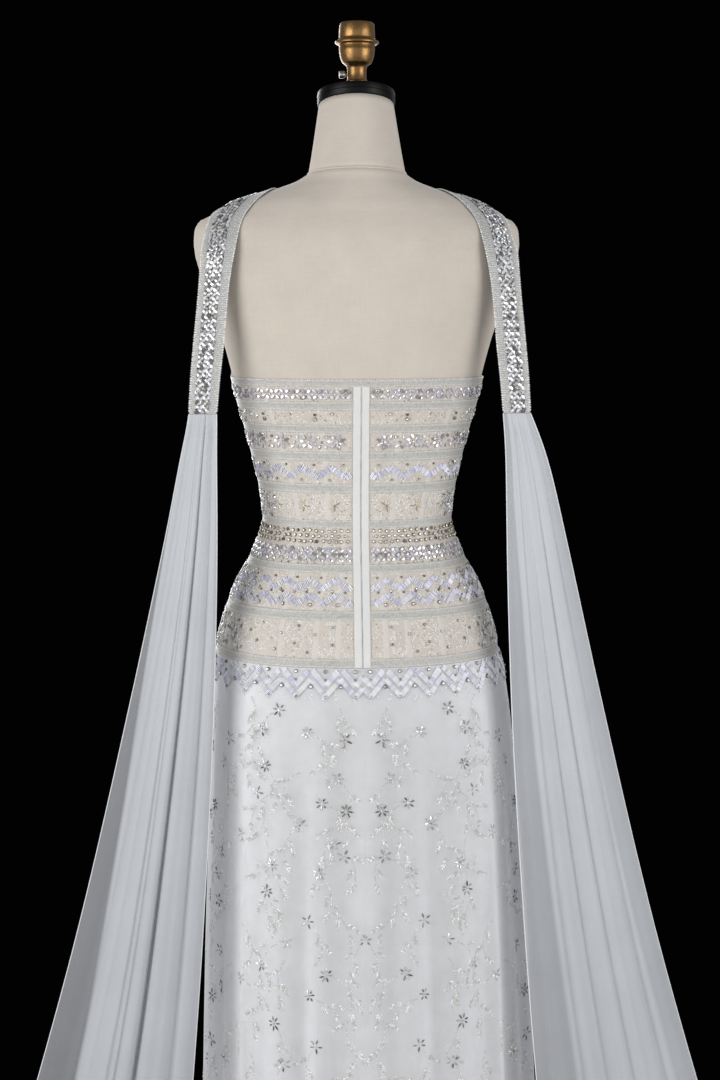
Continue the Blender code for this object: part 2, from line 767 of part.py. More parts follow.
def over_form(across, turn, out):
    """Point over the torso, straight out at an angle from a level inside it, 0 being up."""
    dy, dz = math.sin(turn), math.cos(turn)
    low, high = 0.0, RAY_REACH
    for _ in range(HALVINGS):
        middle = (low + high) / 2.0
        if inside_form(across, middle * dy, RAY_HEIGHT + middle * dz):
            low = middle
        else:
            high = middle
    reach = low + out
    return across, reach * dy, RAY_HEIGHT + reach * dz


def neckline_turn(across):
    """Angle over the torso at which the band meets the bodice's top edge."""
    low, high = math.radians(-140.0), math.radians(-60.0)
    for _ in range(HALVINGS):
        middle = (low + high) / 2.0
        x, y, z = over_form(across, middle, BODICE_INSIDE)
        edge = BODICE_TOP + neckline_lift(math.atan2(x, y))
        if z < edge + 2.0 * SEAM_GAP:
            low = middle
        else:
            high = middle
    return high


def band_stations():
    """Stations of the left band: each a function from (share across, out) to a point."""
    inner_turn = math.degrees(neckline_turn(BAND_START_INNER))
    outer_turn = math.degrees(neckline_turn(BAND_START_OUTER))
    rows = [OnForm(BAND_START_INNER, inner_turn, BAND_START_OUTER, outer_turn), *BAND_ON_FORM]
    on_form = [(number, *row) for number, row in enumerate(rows)]
    stations = []
    steps = (len(rows) - 1) * BAND_LEVELS
    for i in range(steps + 1):
        place = i / BAND_LEVELS
        values = [curve_value([(row[0], row[k]) for row in on_form], place) for k in range(1, 5)]
        stations.append(functools.partial(point_on_form, *values))
    for row, following in zip(BAND_FREE, BAND_FREE[1:]):
        between = row_at(BAND_FREE[::-1], (row.height + following.height) / 2.0)
        stations.append(functools.partial(point_free, row))
        stations.append(functools.partial(point_free, between))
    stations.append(functools.partial(point_free, BAND_FREE[-1]))
    return stations


def point_on_form(inner_across, inner_turn, outer_across, outer_turn, share, out):
    """Point of a band where it lies on the torso."""
    across = inner_across + (outer_across - inner_across) * share
    turn = math.radians(inner_turn + (outer_turn - inner_turn) * share)
    return over_form(across, turn, BAND_INSIDE + out)


def point_free(row, share, out):
    """Point of a band where it hangs free behind the arm."""
    across = row.inner_across + (row.outer_across - row.inner_across) * share
    depth = row.inner_depth + (row.outer_depth - row.inner_depth) * share
    return across, depth + out, row.height


def build_band(name, side, material):
    """Beaded shoulder band, raised along its middle and its two edges."""

    def rows(shares, rises):
        made = []
        for station in band_stations():
            points = [station(share, rise) for share, rise in zip(shares, rises)]
            made.append([(side * x, y, z) for x, y, z in points])
        return made

    shares = [ridge.across for ridge in BAND_RIDGES]
    outside = rows(shares, [BAND_WALL + ridge.rise for ridge in BAND_RIDGES])
    inside = rows(shares[::2], [0.0] * len(shares[::2]))
    return make_wall(name, outside, inside, material)


def cape_outline(row, folds, share):
    """Point of a cape panel's level, from its inner edge at 0 to its outer edge at 1."""
    across = row.inner + (row.outer - row.inner) * share
    depth = row.depth + row.fold * curve_value(folds, share) - row.wrap * (share - CAPE_BOW) ** 2
    return across, depth


def cape_shares(folds):
    """Where a cape's columns stand: at each fold and crease, and half way between them."""
    shares = []
    for crease, following in zip(folds, folds[1:]):
        shares += [crease.share, (crease.share + following.share) / 2.0]
    return [*shares, folds[-1].share]


def build_cape(name, side, folds, material):
    """Gathered cape panel that hangs from a band's end to the floor."""
    shares = cape_shares(folds)
    last = len(shares) - 1

    def rows(out):
        made = []
        for row in CAPE:
            drop = CAPE[-1].height - row.height
            sway = CAPE_SWAY * (1.0 - math.exp(-drop / CAPE_SWAY_DROP))
            points = [cape_outline(row, folds, share) for share in shares]
            line = []
            for i, (x, y) in enumerate(points):
                x0, y0 = points[max(i - 1, 0)]
                x1, y1 = points[min(i + 1, last)]
                length = math.hypot(x1 - x0, y1 - y0)
                across = x - (y1 - y0) / length * out
                back = y + (x1 - x0) / length * out
                swayed = sway * (CAPE_INNER_SWAY + (1.0 - CAPE_INNER_SWAY) * shares[i])
                line.append((side * across - swayed, back, row.height))
            made.append(line)
        return made

    return make_wall(name, rows(CAPE_WALL / 2.0), rows(-CAPE_WALL / 2.0), material)


def main():
    """Build every piece."""
    clear_scene()
    linen = make_material("linen", (0.62, 0.56, 0.48), 0.8)
    dark_metal = make_material("dark_metal", (0.06, 0.06, 0.06), 0.35, 1.0)
    brass = make_material("brass", (0.42, 0.27, 0.11), 0.35, 1.0)
    steel = make_material("steel", (0.55, 0.55, 0.56), 0.3, 1.0)
    bodice_cloth = make_material("bodice_cloth", (0.66, 0.58, 0.50), 0.6)
    satin = make_material("satin", (0.75, 0.75, 0.76), 0.45)
    beaded = make_material("beaded", (0.62, 0.62, 0.64), 0.4)
    lining = make_material("lining", (0.78, 0.78, 0.80), 0.6)
    tulle = make_material("tulle", (0.70, 0.70, 0.72), 0.6)
    chiffon = make_material("chiffon", (0.62, 0.64, 0.68), 0.6)

    build_torso(linen)
    build_neck(linen)
    build_cap(dark_metal)
    build_finial(brass)
    build_screw(steel)
    build_stand(steel, dark_metal)
    build_bodice(bodice_cloth)
    build_placket(satin, steel)
    build_skirt(lining, tulle)
    for name, side, folds in (("left", 1, LEFT_CAPE_FOLDS), ("right", -1, RIGHT_CAPE_FOLDS)):
        build_band("shoulder_band_" + name, side, beaded)
        build_cape("cape_" + name, side, folds, chiffon)


main()
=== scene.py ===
"""Beaded evening gown with cape panels on a limbless dress form.

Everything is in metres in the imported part's frame: +Z up, the gown's front towards -Y,
its zip at centre back towards +Y, and +X towards the wearer's left.
"""
import functools
import math
from collections import namedtuple

import bpy
import numpy as np
from bpy.props import FloatProperty, FloatVectorProperty, IntProperty, PointerProperty
from mathutils import Euler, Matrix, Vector


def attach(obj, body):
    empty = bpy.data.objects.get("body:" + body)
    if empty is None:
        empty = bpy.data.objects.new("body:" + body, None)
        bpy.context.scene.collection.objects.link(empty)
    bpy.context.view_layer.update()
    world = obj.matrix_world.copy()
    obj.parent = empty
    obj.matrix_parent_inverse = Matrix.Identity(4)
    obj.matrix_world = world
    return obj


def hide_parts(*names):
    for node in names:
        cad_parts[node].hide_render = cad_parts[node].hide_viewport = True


bl_info = {
    "name": "Beaded evening gown",
    "version": (1, 0, 0),
    "blender": (4, 5, 0),
    "location": "View3D > Sidebar > Gown",
    "description": "Dresses the packed gown and dress form with cloth, ribbons and beads",
    "category": "Object",
}

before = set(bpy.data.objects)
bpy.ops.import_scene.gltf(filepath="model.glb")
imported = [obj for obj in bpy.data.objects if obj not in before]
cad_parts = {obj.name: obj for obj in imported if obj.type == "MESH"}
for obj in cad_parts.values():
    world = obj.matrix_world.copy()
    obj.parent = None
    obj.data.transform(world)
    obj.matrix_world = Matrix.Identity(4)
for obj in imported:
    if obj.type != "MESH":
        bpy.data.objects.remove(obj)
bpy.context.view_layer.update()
QUARTER = math.pi / 2.0

# Body of the form, one row for each level
Section = namedtuple("Section", "height half_width front back squareness")
BODY = tuple(Section(*row) for row in (
    (0.74, 0.152, 0.108, 0.114, 2.2),
    (0.86, 0.166, 0.112, 0.126, 2.2),
    (0.935, 0.17, 0.113, 0.127, 2.2),
    (0.9667, 0.1675, 0.1135, 0.123, 2.2),
    (0.9913, 0.1615, 0.113, 0.117, 2.2),
    (1.039, 0.144, 0.108, 0.102, 2.2),
    (1.0646, 0.1296, 0.103, 0.094, 2.2),
    (1.0889, 0.1184, 0.098, 0.087, 2.2),
    (1.114, 0.111, 0.094, 0.082, 2.2),
    (1.137, 0.1122, 0.095, 0.082, 2.2),
    (1.1616, 0.1165, 0.098, 0.084, 2.2),
    (1.2098, 0.1278, 0.106, 0.089, 2.2),
    (1.2577, 0.1412, 0.114, 0.095, 2.3),
    (1.283, 0.1475, 0.116, 0.0985, 2.3),
    (1.31, 0.1543, 0.115, 0.101, 2.3),
    (1.332, 0.1605, 0.112, 0.1025, 2.3),
    (1.36, 0.17, 0.105, 0.104, 2.3),
    (1.4, 0.183, 0.092, 0.103, 2.3),
    (1.44, 0.1925, 0.078, 0.097, 2.2),
    (1.456, 0.1915, 0.07, 0.092, 2.1),
    (1.467, 0.186, 0.065, 0.087, 2.0),
    (1.4745, 0.171, 0.062, 0.083, 2.0),
    (1.4875, 0.148, 0.057, 0.077, 1.9),
    (1.497, 0.119, 0.054, 0.071, 1.9),
    (1.5055, 0.0945, 0.051, 0.066, 1.9),
    (1.514, 0.0715, 0.05, 0.061, 1.9),
    (1.522, 0.0575, 0.049, 0.056, 2.0),
))
TORSO_TOP = BODY[-1].height
BUST_HEIGHT, BUST_ACROSS, BUST_SPREAD, BUST_RISE, BUST_DEPTH = 1.268, 0.076, 0.05, 0.052, 0.016

# Neck, cap and stand
NECK_TOP, NECK_TOP_RADIUS, NECK_TOP_SLOPE = 1.603, 0.0442, 0.22
NECK_FOOT_SLOPE, NECK_LEAN, NECK_FLARE = 0.09, 0.016, 0.9
FINIAL_FOOT = 1.6275
SCREW_OUT, SCREW_HEIGHT = 0.0183, 1.637
TORSO_FOOT = 0.74

# Outlines of the turned pieces as (radius, height) rows
CAP_OUTLINE = (
    (0.0443, 0.0), (0.0454, 0.0004), (0.0458, 0.0015), (0.0458, 0.0062), (0.0455, 0.0066), (0.0458, 0.007),
    (0.0458, 0.0125), (0.0454, 0.0136), (0.0443, 0.014), (0.034, 0.0168), (0.02, 0.0182),
)
SEAT_OUTLINE = ((0.0165, 1.6165), (0.0165, 1.6255), (0.0155, 1.6272))
FINIAL_OUTLINE = (
    (0.0128, 0.0), (0.0136, 0.0006), (0.0136, 0.0018), (0.0118, 0.003), (0.0112, 0.004), (0.011, 0.01),
    (0.0112, 0.0165), (0.0124, 0.0192), (0.0152, 0.0216), (0.017, 0.0228), (0.0176, 0.024), (0.019, 0.0272),
    (0.02, 0.031), (0.0206, 0.035), (0.021, 0.0395), (0.0206, 0.0402), (0.0206, 0.041), (0.0212, 0.0418),
    (0.0212, 0.0436), (0.0246, 0.0444), (0.0256, 0.0452), (0.0258, 0.0462), (0.0254, 0.0474), (0.0236, 0.0482),
    (0.0218, 0.0492), (0.0212, 0.0506), (0.0206, 0.0512), (0.021, 0.052), (0.0208, 0.06), (0.0203, 0.0655),
    (0.0197, 0.0675), (0.0185, 0.0685), (0.0152, 0.0685), (0.0146, 0.0676), (0.0142, 0.0665),
)
BASE_OUTLINE = (
    (0.134, 0.0), (0.135, 0.0008), (0.135, 0.006), (0.133, 0.008), (0.052, 0.014), (0.033, 0.0146),
    (0.028, 0.016), (0.0235, 0.02), (0.022, 0.024), (0.022, 0.043), (0.0214, 0.0446), (0.02, 0.045),
)

# Bodice, with its ribbons from the top edge down as (lower edge, upper edge)
HIP_SEAM, WAIST, BODICE_TOP, LIFT_FROM = 0.9561, 1.114, 1.2855, 1.2605
RIBBONS = (
    (1.2776, 1.2855),
    (1.2502, 1.2605),
    (1.2243, 1.2335),
    (1.1915, 1.2024),
    (1.1538, 1.1648),
    (1.1128, 1.1222),
    (1.0621, 1.0719),
    (1.0092, 1.02),
    (0.9561, 0.9666),
)
NECKLINE_RISE, NECKLINE_DIP, NECKLINE_DIP_WIDTH, NECKLINE_RAMP = 0.05, 0.022, 0.18, 0.55
CLOTH_OUT = 0.0019
PLACKET_INNER, PLACKET_OUTER, PLACKET_FOOT, PLACKET_TOP = 0.0005, 0.0094, 0.9566, 1.2778
ZIP_FOOT, ZIP_TOP, TOOTH_PITCH = 0.957, 1.2772, 0.0016
PLACKET_OUT, TEETH_OUT = 0.0024, 0.0028

# Walls of the cloths
BODICE_WALL, LINING_WALL, TULLE_WALL, BAND_WALL, CHIFFON_WALL = 0.0009, 0.0008, 0.0005, 0.001, 0.0006

# Skirt layers: start over the form, inward and fold depth for each metre below the hip seam
SKIRT = (
    Section(0.0, 0.215, 0.192, 0.224, 2.2),
    Section(0.3, 0.204, 0.174, 0.195, 2.2),
    Section(0.6, 0.194, 0.156, 0.168, 2.2),
    Section(0.8, 0.1835, 0.139, 0.148, 2.2),
    Section(0.9, 0.1765, 0.126, 0.137, 2.2),
)
Layer = namedtuple("Layer", "start inward depth folds phase sway")
LINING = Layer(0.0015, 0.032, 0.009, 4, 1.0, 0.01)
OVERLAY = Layer(0.0028, 0.0, 0.0105, 6, 1.8, 0.02)
FRONT_PHASE, FOLD_UNEVEN, FOLD_DEPTHS, FOLD_STEP = 1.7, 0.022, 0.22, 2.3
CREASE_DEPTH, CREASE_START = 0.0022, 0.2
# Painted shade in the lining's folds: half width over which the folds are read, how much the folds and the
# creases darken, and the drop over which that shade grows in
VALLEY_REACH, VALLEY_FOLD, VALLEY_CREASE, VALLEY_START = 0.19, 0.36, 0.55, 0.12
HEM = 0.0013

# Shoulder bands, for the wearer's left, from the front neckline over the shoulder
BAND_ON_FORM = (
    (0.036, -96, 0.071, -100),
    (0.052, -70, 0.088, -78),
    (0.071, -42, 0.108, -56),
    (0.087, -18, 0.129, -34),
    (0.1, 4, 0.151, -13),
    (0.116, 22, 0.167, 8),
    (0.129, 34, 0.175, 27),
    (0.137, 44, 0.179, 42),
)
BAND_FREE = (
    (1.434, 0.143, 0.08, 0.1812, 0.069),
    (1.41, 0.1478, 0.0815, 0.1828, 0.0725),
    (1.383, 0.1518, 0.082, 0.185, 0.0745),
    (1.325, 0.1572, 0.081, 0.1912, 0.0755),
    (1.285, 0.1622, 0.08, 0.195, 0.0765),
    (1.246, 0.166, 0.0785, 0.1975, 0.077),
)
BAND_START = (0.022, 0.058)
BAND_OUT = 0.0022
RAY_HEIGHT = 1.4

# Cape panels: gathered under the bands, with each one's folds from its inner to its outer edge
Cape = namedtuple("Cape", "height inner outer depth fold wrap")
CAPE = (
    Cape(0.001, 0.245, 0.525, 0.205, 0.019, 0.12),
    Cape(0.32, 0.2155, 0.433, 0.169, 0.016, 0.095),
    Cape(0.64, 0.1895, 0.342, 0.134, 0.0125, 0.066),
    Cape(0.911, 0.1743, 0.2768, 0.106, 0.0085, 0.04),
    Cape(1.098, 0.1689, 0.2344, 0.091, 0.0048, 0.021),
    Cape(1.191, 0.168, 0.2133, 0.082, 0.0019, 0.006),
    Cape(1.2457, 0.166, 0.1975, 0.0785, 0.0006, 0.0),
)
LEFT_FOLDS = (
    (0.0, 0.1), (0.06, 0.5), (0.12, 0.35), (0.15, 0.0), (0.18, 0.35), (0.24, 0.6), (0.33, 0.6),
    (0.362, 0.2), (0.385, -0.5), (0.412, 0.2), (0.45, 0.5), (0.495, 0.45), (0.515, 0.32), (0.53, 0.5),
    (0.56, 0.36), (0.58, 0.55), (0.66, 0.45), (0.7, 0.6), (0.76, 0.5), (0.785, -0.1), (0.85, -0.4),
    (0.93, -0.35), (1.0, -0.9),
)
RIGHT_FOLDS = (
    (0.0, -0.2), (0.085, -0.45), (0.105, -0.3), (0.17, -0.3), (0.24, -0.15), (0.29, 0.4), (0.31, 0.6),
    (0.35, 0.45), (0.4, 0.2), (0.42, -0.05), (0.45, 0.3), (0.5, 0.5), (0.56, 0.45), (0.59, 0.1),
    (0.61, 0.4), (0.7, 0.65), (0.76, 0.5), (0.79, 0.15), (0.83, 0.45), (0.9, 0.3), (1.0, -0.3),
)
CAPE_TOP = CAPE[-1].height
CAPE_SWAY, CAPE_SWAY_DROP, CAPE_INNER_SWAY, CAPE_BOW = 0.0072, 0.05, 0.3, 0.35

# Photograph's viewpoint
EYE_HEIGHT, EYE_DISTANCE, EYE_TURN, EYE_TILT, EYE_AIM = 1.376, 2.15, 3.0, 7.63, 3.096
LENS = 59.73


def rgb(*values):
    """Scene colour from an 8-bit display colour."""
    return tuple(((v / 255.0 + 0.055) / 1.055) ** 2.4 for v in values)


def colour_of(name, *values):
    """Colour property with a display colour as its default."""
    return FloatVectorProperty(
        name=name,
        description=name + " of the finished piece",
        subtype="COLOR",
        default=rgb(*values),
        min=0.0,
        max=1.0,
    )


def share_of(name, description, default):
    """Property that runs from 0 to 1."""
    return FloatProperty(
        name=name, description=description, default=default, min=0.0, max=1.0, subtype="FACTOR"
    )


def length_of(name, description, default):
    """Property that is a length in metres."""
    return FloatProperty(
        name=name, description=description, default=default, subtype="DISTANCE", unit="LENGTH"
    )


class FormLook(bpy.types.PropertyGroup):
    """Dress form and stand."""

    linen: colour_of("Linen", 207, 197, 185)
    cap: colour_of("Cap", 34, 33, 33)
    brass: colour_of("Brass", 143, 110, 70)
    steel: colour_of("Steel", 190, 190, 192)
    weave: share_of("Weave", "Depth of the linen's weave", 0.35)


class BodiceLook(bpy.types.PropertyGroup):
    """Bodice cloth, ribbons and beads."""

    nude: colour_of("Nude cloth", 207, 198, 188)
    ribbon: colour_of("Ribbon", 200, 197, 191)
    piping: colour_of("Piping", 212, 210, 205)
    satin: colour_of("Placket satin", 222, 221, 219)
    seed: IntProperty(name="Arrangement", description="Seed of the beads' uneven places", default=7)


class SkirtLook(bpy.types.PropertyGroup):
    """Lining and beaded overlay."""

    lining: colour_of("Lining", 249, 249, 249)
    tulle: colour_of("Tulle", 240, 240, 242)
    sheer: share_of("Tulle cover", "Share of the light that the tulle stops", 0.36)
    seed: IntProperty(name="Arrangement", description="Seed of the sprigs' places", default=11)


class CapeLook(bpy.types.PropertyGroup):
    """Cape panels."""

    chiffon: colour_of("Chiffon", 205, 207, 211)
    edge: colour_of("Rolled edge", 228, 229, 231)
    cover: share_of("Chiffon cover", "Share of the light that the chiffon stops", 0.97)
    roll: length_of("Rolled hem", "Radius of the rolled edge", 0.0007)


class StageLook(bpy.types.PropertyGroup):
    """Floor and light."""

    floor: colour_of("Floor", 190, 190, 190)
    radius: length_of("Floor radius", "Radius of the floor", 0.8)
    power: FloatProperty(name="Light", description="Share of the studio light's power", default=1.0, min=0.0)


def curve_value(points, at):
    """Read a smooth curve, with no overshoot, through (place, value) points in rising order."""
    if at <= points[0][0]:
        return points[0][1]
    if at >= points[-1][0]:
        return points[-1][1]
    slopes = [(b[1] - a[1]) / (b[0] - a[0]) for a, b in zip(points, points[1:])]

    def tangent(i):
        """Slope of the curve at a point."""
        if i == 0:
            return slopes[0]
        if i == len(slopes):
            return slopes[-1]
        before, after = slopes[i - 1], slopes[i]
        if before * after <= 0.0:
            return 0.0
        return 2.0 * before * after / (before + after)

    i = next(k for k in range(len(slopes)) if at <= points[k + 1][0])
    span = points[i + 1][0] - points[i][0]
    t = (at - points[i][0]) / span
    start, end = points[i][1], points[i + 1][1]
    return (
        (2 * t**3 - 3 * t**2 + 1) * start
        + (t**3 - 2 * t**2 + t) * span * tangent(i)
        + (3 * t**2 - 2 * t**3) * end
        + (t**3 - t**2) * span * tangent(i + 1)
    )


@functools.cache
def dense(rows):
    """Table read at many even places: the places, and one array for each other column."""
    rows = sorted(rows)
    places = np.linspace(rows[0][0], rows[-1][0], 600)
    columns = []
    for k in range(1, len(rows[0])):
        points = [(row[0], row[k]) for row in rows]
        columns.append(np.array([curve_value(points, place) for place in places]))
    return places, columns


def read(rows, at):
    """Every column of a table, read at an array of places."""
    places, columns = dense(rows)
    return [np.interp(at, places, column) for column in columns]


def ring(section, turn):
    """Points of a section (half width, front, back, squareness) at angles from centre back."""
    half_width, front, back, squareness = section
    across, along = np.sin(turn), np.cos(turn)
    power = 2.0 / squareness
    depth = np.where(along > 0.0, back, front)
    x = half_width * np.sign(across) * np.abs(across) ** power
    y = depth * np.sign(along) * np.abs(along) ** power
    return x, y


def moved_out(outline, turn, out):
    """Points of an outline, moved out along its own normal."""
    step = 0.02
    x0, y0 = outline(turn - step)
    x1, y1 = outline(turn + step)
    length = np.hypot(x1 - x0, y1 - y0)
    x, y = outline(turn)
    return x - (y1 - y0) / length * out, y + (x1 - x0) / length * out


def bust(x, height):
    """How far the bust stands out at places across and heights."""
    side = (np.abs(x) - BUST_ACROSS) / BUST_SPREAD
    level = (height - BUST_HEIGHT) / BUST_RISE
    return BUST_DEPTH * np.exp(-side * side - level * level)


def body_outline(height, turn):
    """Points of the form's surface."""
    x, y = ring(read(BODY, height), turn)
    return x, np.where(y < 0.0, y - bust(x, height), y)


def body_points(height, turn, out=0.0):
    """Points over the form's surface, as an array with x, y, z last."""
    height, turn, out = np.broadcast_arrays(*(np.asarray(v, float) for v in (height, turn, out)))
    x, y = moved_out(functools.partial(body_outline, height), turn, out)
    return np.stack([x, y, height], axis=-1)


def neckline_lift(turn):
    """How far the front top edge stands over the back one."""
    share = np.abs(np.abs(turn) - math.pi) / QUARTER
    ramp = np.clip((1.0 - share) / NECKLINE_RAMP, 0.0, 1.0)
    rise = NECKLINE_RISE * ramp * ramp * (3.0 - 2.0 * ramp)
    return np.where(share < 1.0, rise - NECKLINE_DIP * np.exp(-((share / NECKLINE_DIP_WIDTH) ** 2)), 0.0)


def lifted(height, turn):
    """Height of a bodice level, with the front raised to the neckline."""
    over = np.clip((height - LIFT_FROM) / (BODICE_TOP - LIFT_FROM), 0.0, 1.0)
    return height + neckline_lift(turn) * over


@functools.cache
def skirt_sections():
    """Sections of the skirt up to the form's own at the hip seam."""
    return (*SKIRT, Section(HIP_SEAM, *(float(v) for v in read(BODY, HIP_SEAM))))


def skirt_points(layer, side, height, turn, wave, out=0.0):
    """Points of a skirt layer on the wearer's left (1) or right (-1)."""
    drop = np.maximum(HIP_SEAM - height, 0.0)
    section = read(skirt_sections(), height)
    offset = layer.start - layer.inward * drop + layer.depth * drop * wave + out
    x, y = moved_out(functools.partial(ring, section), turn, offset)
    sway = layer.sway * np.sqrt(drop) * np.abs(x) / section[0]
    return np.stack([side * x - sway, y, height + 0.0 * x], axis=-1)


def fold_wave(share, folds, phase):
    """(share moved along, wave) of a folded panel, with a ridge on each seam."""
    inside = 4.0 * share * (1.0 - share)
    uneven = FOLD_UNEVEN * np.sin(4.0 * math.pi * share + phase) * inside
    shallow = FOLD_DEPTHS * inside * (1.0 + np.sin(FOLD_STEP * folds * share + phase))
    return share + uneven, (1.0 - shallow) * np.cos(math.tau * folds * share)


def creases(shares, number, seed):
    """Uneven soft troughs that run the length of a cloth: 0 between them and up to 1 within."""
    rng = np.random.default_rng(seed)
    depth = np.zeros(np.shape(shares))
    for place in (np.arange(number) + rng.uniform(0.15, 0.85, number)) / number:
        spread = rng.uniform(0.16, 0.42) / number
        trough = rng.uniform(0.35, 1.0) * np.exp(-(((shares - place) / spread) ** 2))
        depth = np.maximum(depth, trough)
    return depth


def distances(line):
    """Distance of each point of a line from its first one, along the line."""
    return np.concatenate([[0.0], np.cumsum(np.linalg.norm(np.diff(line, axis=0), axis=1))])


class Cloth:
    """Grid of points over a panel, read at any share across and any level, with its frame there."""

    def __init__(self, points, levels):
        self.points = np.stack([self.spaced(row) for row in np.asarray(points, float)])
        self.levels = np.asarray(levels, float)
        self.widths = np.linalg.norm(np.diff(self.points, axis=1), axis=2).sum(axis=1)

    @staticmethod
    def spaced(row):
        """Row's points, moved to even distances along it."""
        steps = distances(row)
        at = np.linspace(0.0, steps[-1], len(row))
        return np.stack([np.interp(at, steps, row[:, k]) for k in range(3)], axis=1)

    def width(self, level):
        """Length across the panel at a level."""
        return float(np.interp(level, self.levels, self.widths))

    def read(self, share, level):
        """Points at shares across and levels."""
        rows, columns = self.points.shape[:2]
        v = np.interp(level, self.levels, np.arange(rows))
        u = np.clip(share, 0.0, 1.0) * (columns - 1)
        i, j = np.minimum(v.astype(int), rows - 2), np.minimum(u.astype(int), columns - 2)
        a, b = (v - i)[..., None], (u - j)[..., None]
        grid = self.points
        lower = grid[i, j] * (1.0 - b) + grid[i, j + 1] * b
        upper = grid[i + 1, j] * (1.0 - b) + grid[i + 1, j + 1] * b
        return lower * (1.0 - a) + upper * a

    def frames(self, share, level):
        """Points with the directions along, up and out of the cloth."""
        share, level = np.broadcast_arrays(np.asarray(share, float), np.asarray(level, float))
        low, high = self.levels[0], self.levels[-1]
        span = 0.004
        point = self.read(share, level)
        along = self.read(np.minimum(share + 0.01, 1.0), level)
        along = along - self.read(np.maximum(share - 0.01, 0.0), level)
        up = self.read(share, np.minimum(level + span, high))
        up = up - self.read(share, np.maximum(level - span, low))
        along /= np.linalg.norm(along, axis=-1, keepdims=True)
        out = np.cross(up, along)
        out /= np.linalg.norm(out, axis=-1, keepdims=True)
        flip = np.sign((out * self.outward(point)).sum(axis=-1, keepdims=True))
        out = out * np.where(flip == 0.0, 1.0, flip)
        square = np.cross(out, along)
        return point, along, square * np.sign((square * up).sum(axis=-1, keepdims=True)), out

    @staticmethod
    def outward(point):
        """Rough direction away from the part's middle, or up over the shoulders."""
        away = point * np.array([1.0, 1.0, 0.0])
        away[..., 2] = np.where(point[..., 2] > RAY_HEIGHT, 4.0 * (point[..., 2] - RAY_HEIGHT), 0.0)
        return away


def enter(mode):
    """Put the active object in a mode."""
    bpy.ops.object.mode_set(mode=mode)


def linked(name, data):
    """New object of some data, linked at the origin."""
    piece = bpy.data.objects.new(name, data)
    bpy.context.scene.collection.objects.link(piece)
    return piece


def deselect_all():
    """Leave nothing selected, in object mode."""
    if bpy.context.object and bpy.context.object.mode != "OBJECT":
        enter("OBJECT")
    bpy.ops.object.select_all(action="DESELECT")


def new_piece(name, points, faces, material, smooth=True):
    """Mesh object from arrays of points and faces, linked at the origin."""
    mesh = bpy.data.meshes.new(name)
    mesh.from_pydata([tuple(p) for p in points], [], faces)
    mesh.validate()
    mesh.polygons.foreach_set("use_smooth", [smooth] * len(mesh.polygons))
    mesh.materials.append(material)
    mesh.update()
    return linked(name, mesh)


def grid_faces(rows, columns, turned, start=0, closed=False):
    """Faces of a grid of points, row by row."""
    faces = []
    for i in range(rows - 1):
        for j in range(columns if closed else columns - 1):
            k = (j + 1) % columns
            face = (
                start + i * columns + j,
                start + i * columns + k,
                start + (i + 1) * columns + k,
                start + (i + 1) * columns + j,
            )
            faces.append(face[::-1] if turned else face)
    return faces


def shell(name, grids, thickness, material, turned):
    """Thin cloth from one or more grids of points, walled inwards, with a UV map in metres of cloth."""
    points, faces, uvs = [], [], []
    for grid, flip in zip(grids, turned):
        rows, columns = grid.shape[:2]
        faces += grid_faces(rows, columns, flip, len(points))
        points += [p for row in grid for p in row]
        steps = np.linalg.norm(np.diff(grid, axis=1), axis=2)
        across = np.pad(np.cumsum(steps, axis=1), ((0, 0), (1, 0)))
        across -= across.mean(axis=1, keepdims=True)
        uvs += [(u, p[2]) for urow, prow in zip(across, grid) for u, p in zip(urow, prow)]
    piece = new_piece(name, points, faces, material)
    layer = piece.data.uv_layers.new(name="cloth")
    vertex = np.zeros(len(piece.data.loops), int)
    piece.data.loops.foreach_get("vertex_index", vertex)
    layer.data.foreach_set("uv", np.array(uvs, np.float32)[vertex].ravel())
    deselect_all()
    bpy.context.view_layer.objects.active = piece
    piece.select_set(True)
    if len(grids) > 1:
        enter("EDIT")
        bpy.ops.mesh.select_all(action="SELECT")
        bpy.ops.mesh.remove_doubles(threshold=0.00002)
        enter("OBJECT")
    wall = piece.modifiers.new("wall", "SOLIDIFY")
    wall.thickness = thickness
    wall.offset = -1.0
    bpy.ops.object.modifier_apply(modifier=wall.name)
    bpy.ops.object.shade_smooth_by_angle(angle=math.radians(50.0))
    return piece


def laid(cloth, rows):
    """Grid of a strip over a cloth, from (shares, levels, height over the cloth) rows."""
    grid = []
    for shares, levels, out in rows:
        point, _, _, normal = cloth.frames(shares, levels)
        grid.append(point + normal * out)
    return np.stack(grid)


class Strips:
    """Open strips of cloth, joined in one mesh."""

    def __init__(self):
        self.points, self.faces = [], []

    def add(self, grid, turned):
        """Add a grid of points."""
        rows, columns = grid.shape[:2]
        self.faces += grid_faces(rows, columns, turned, len(self.points))
        self.points += list(grid.reshape(-1, 3))

    def make(self, name, material):
        """Join the strips in one piece."""
        return new_piece(name, self.points, self.faces, material)


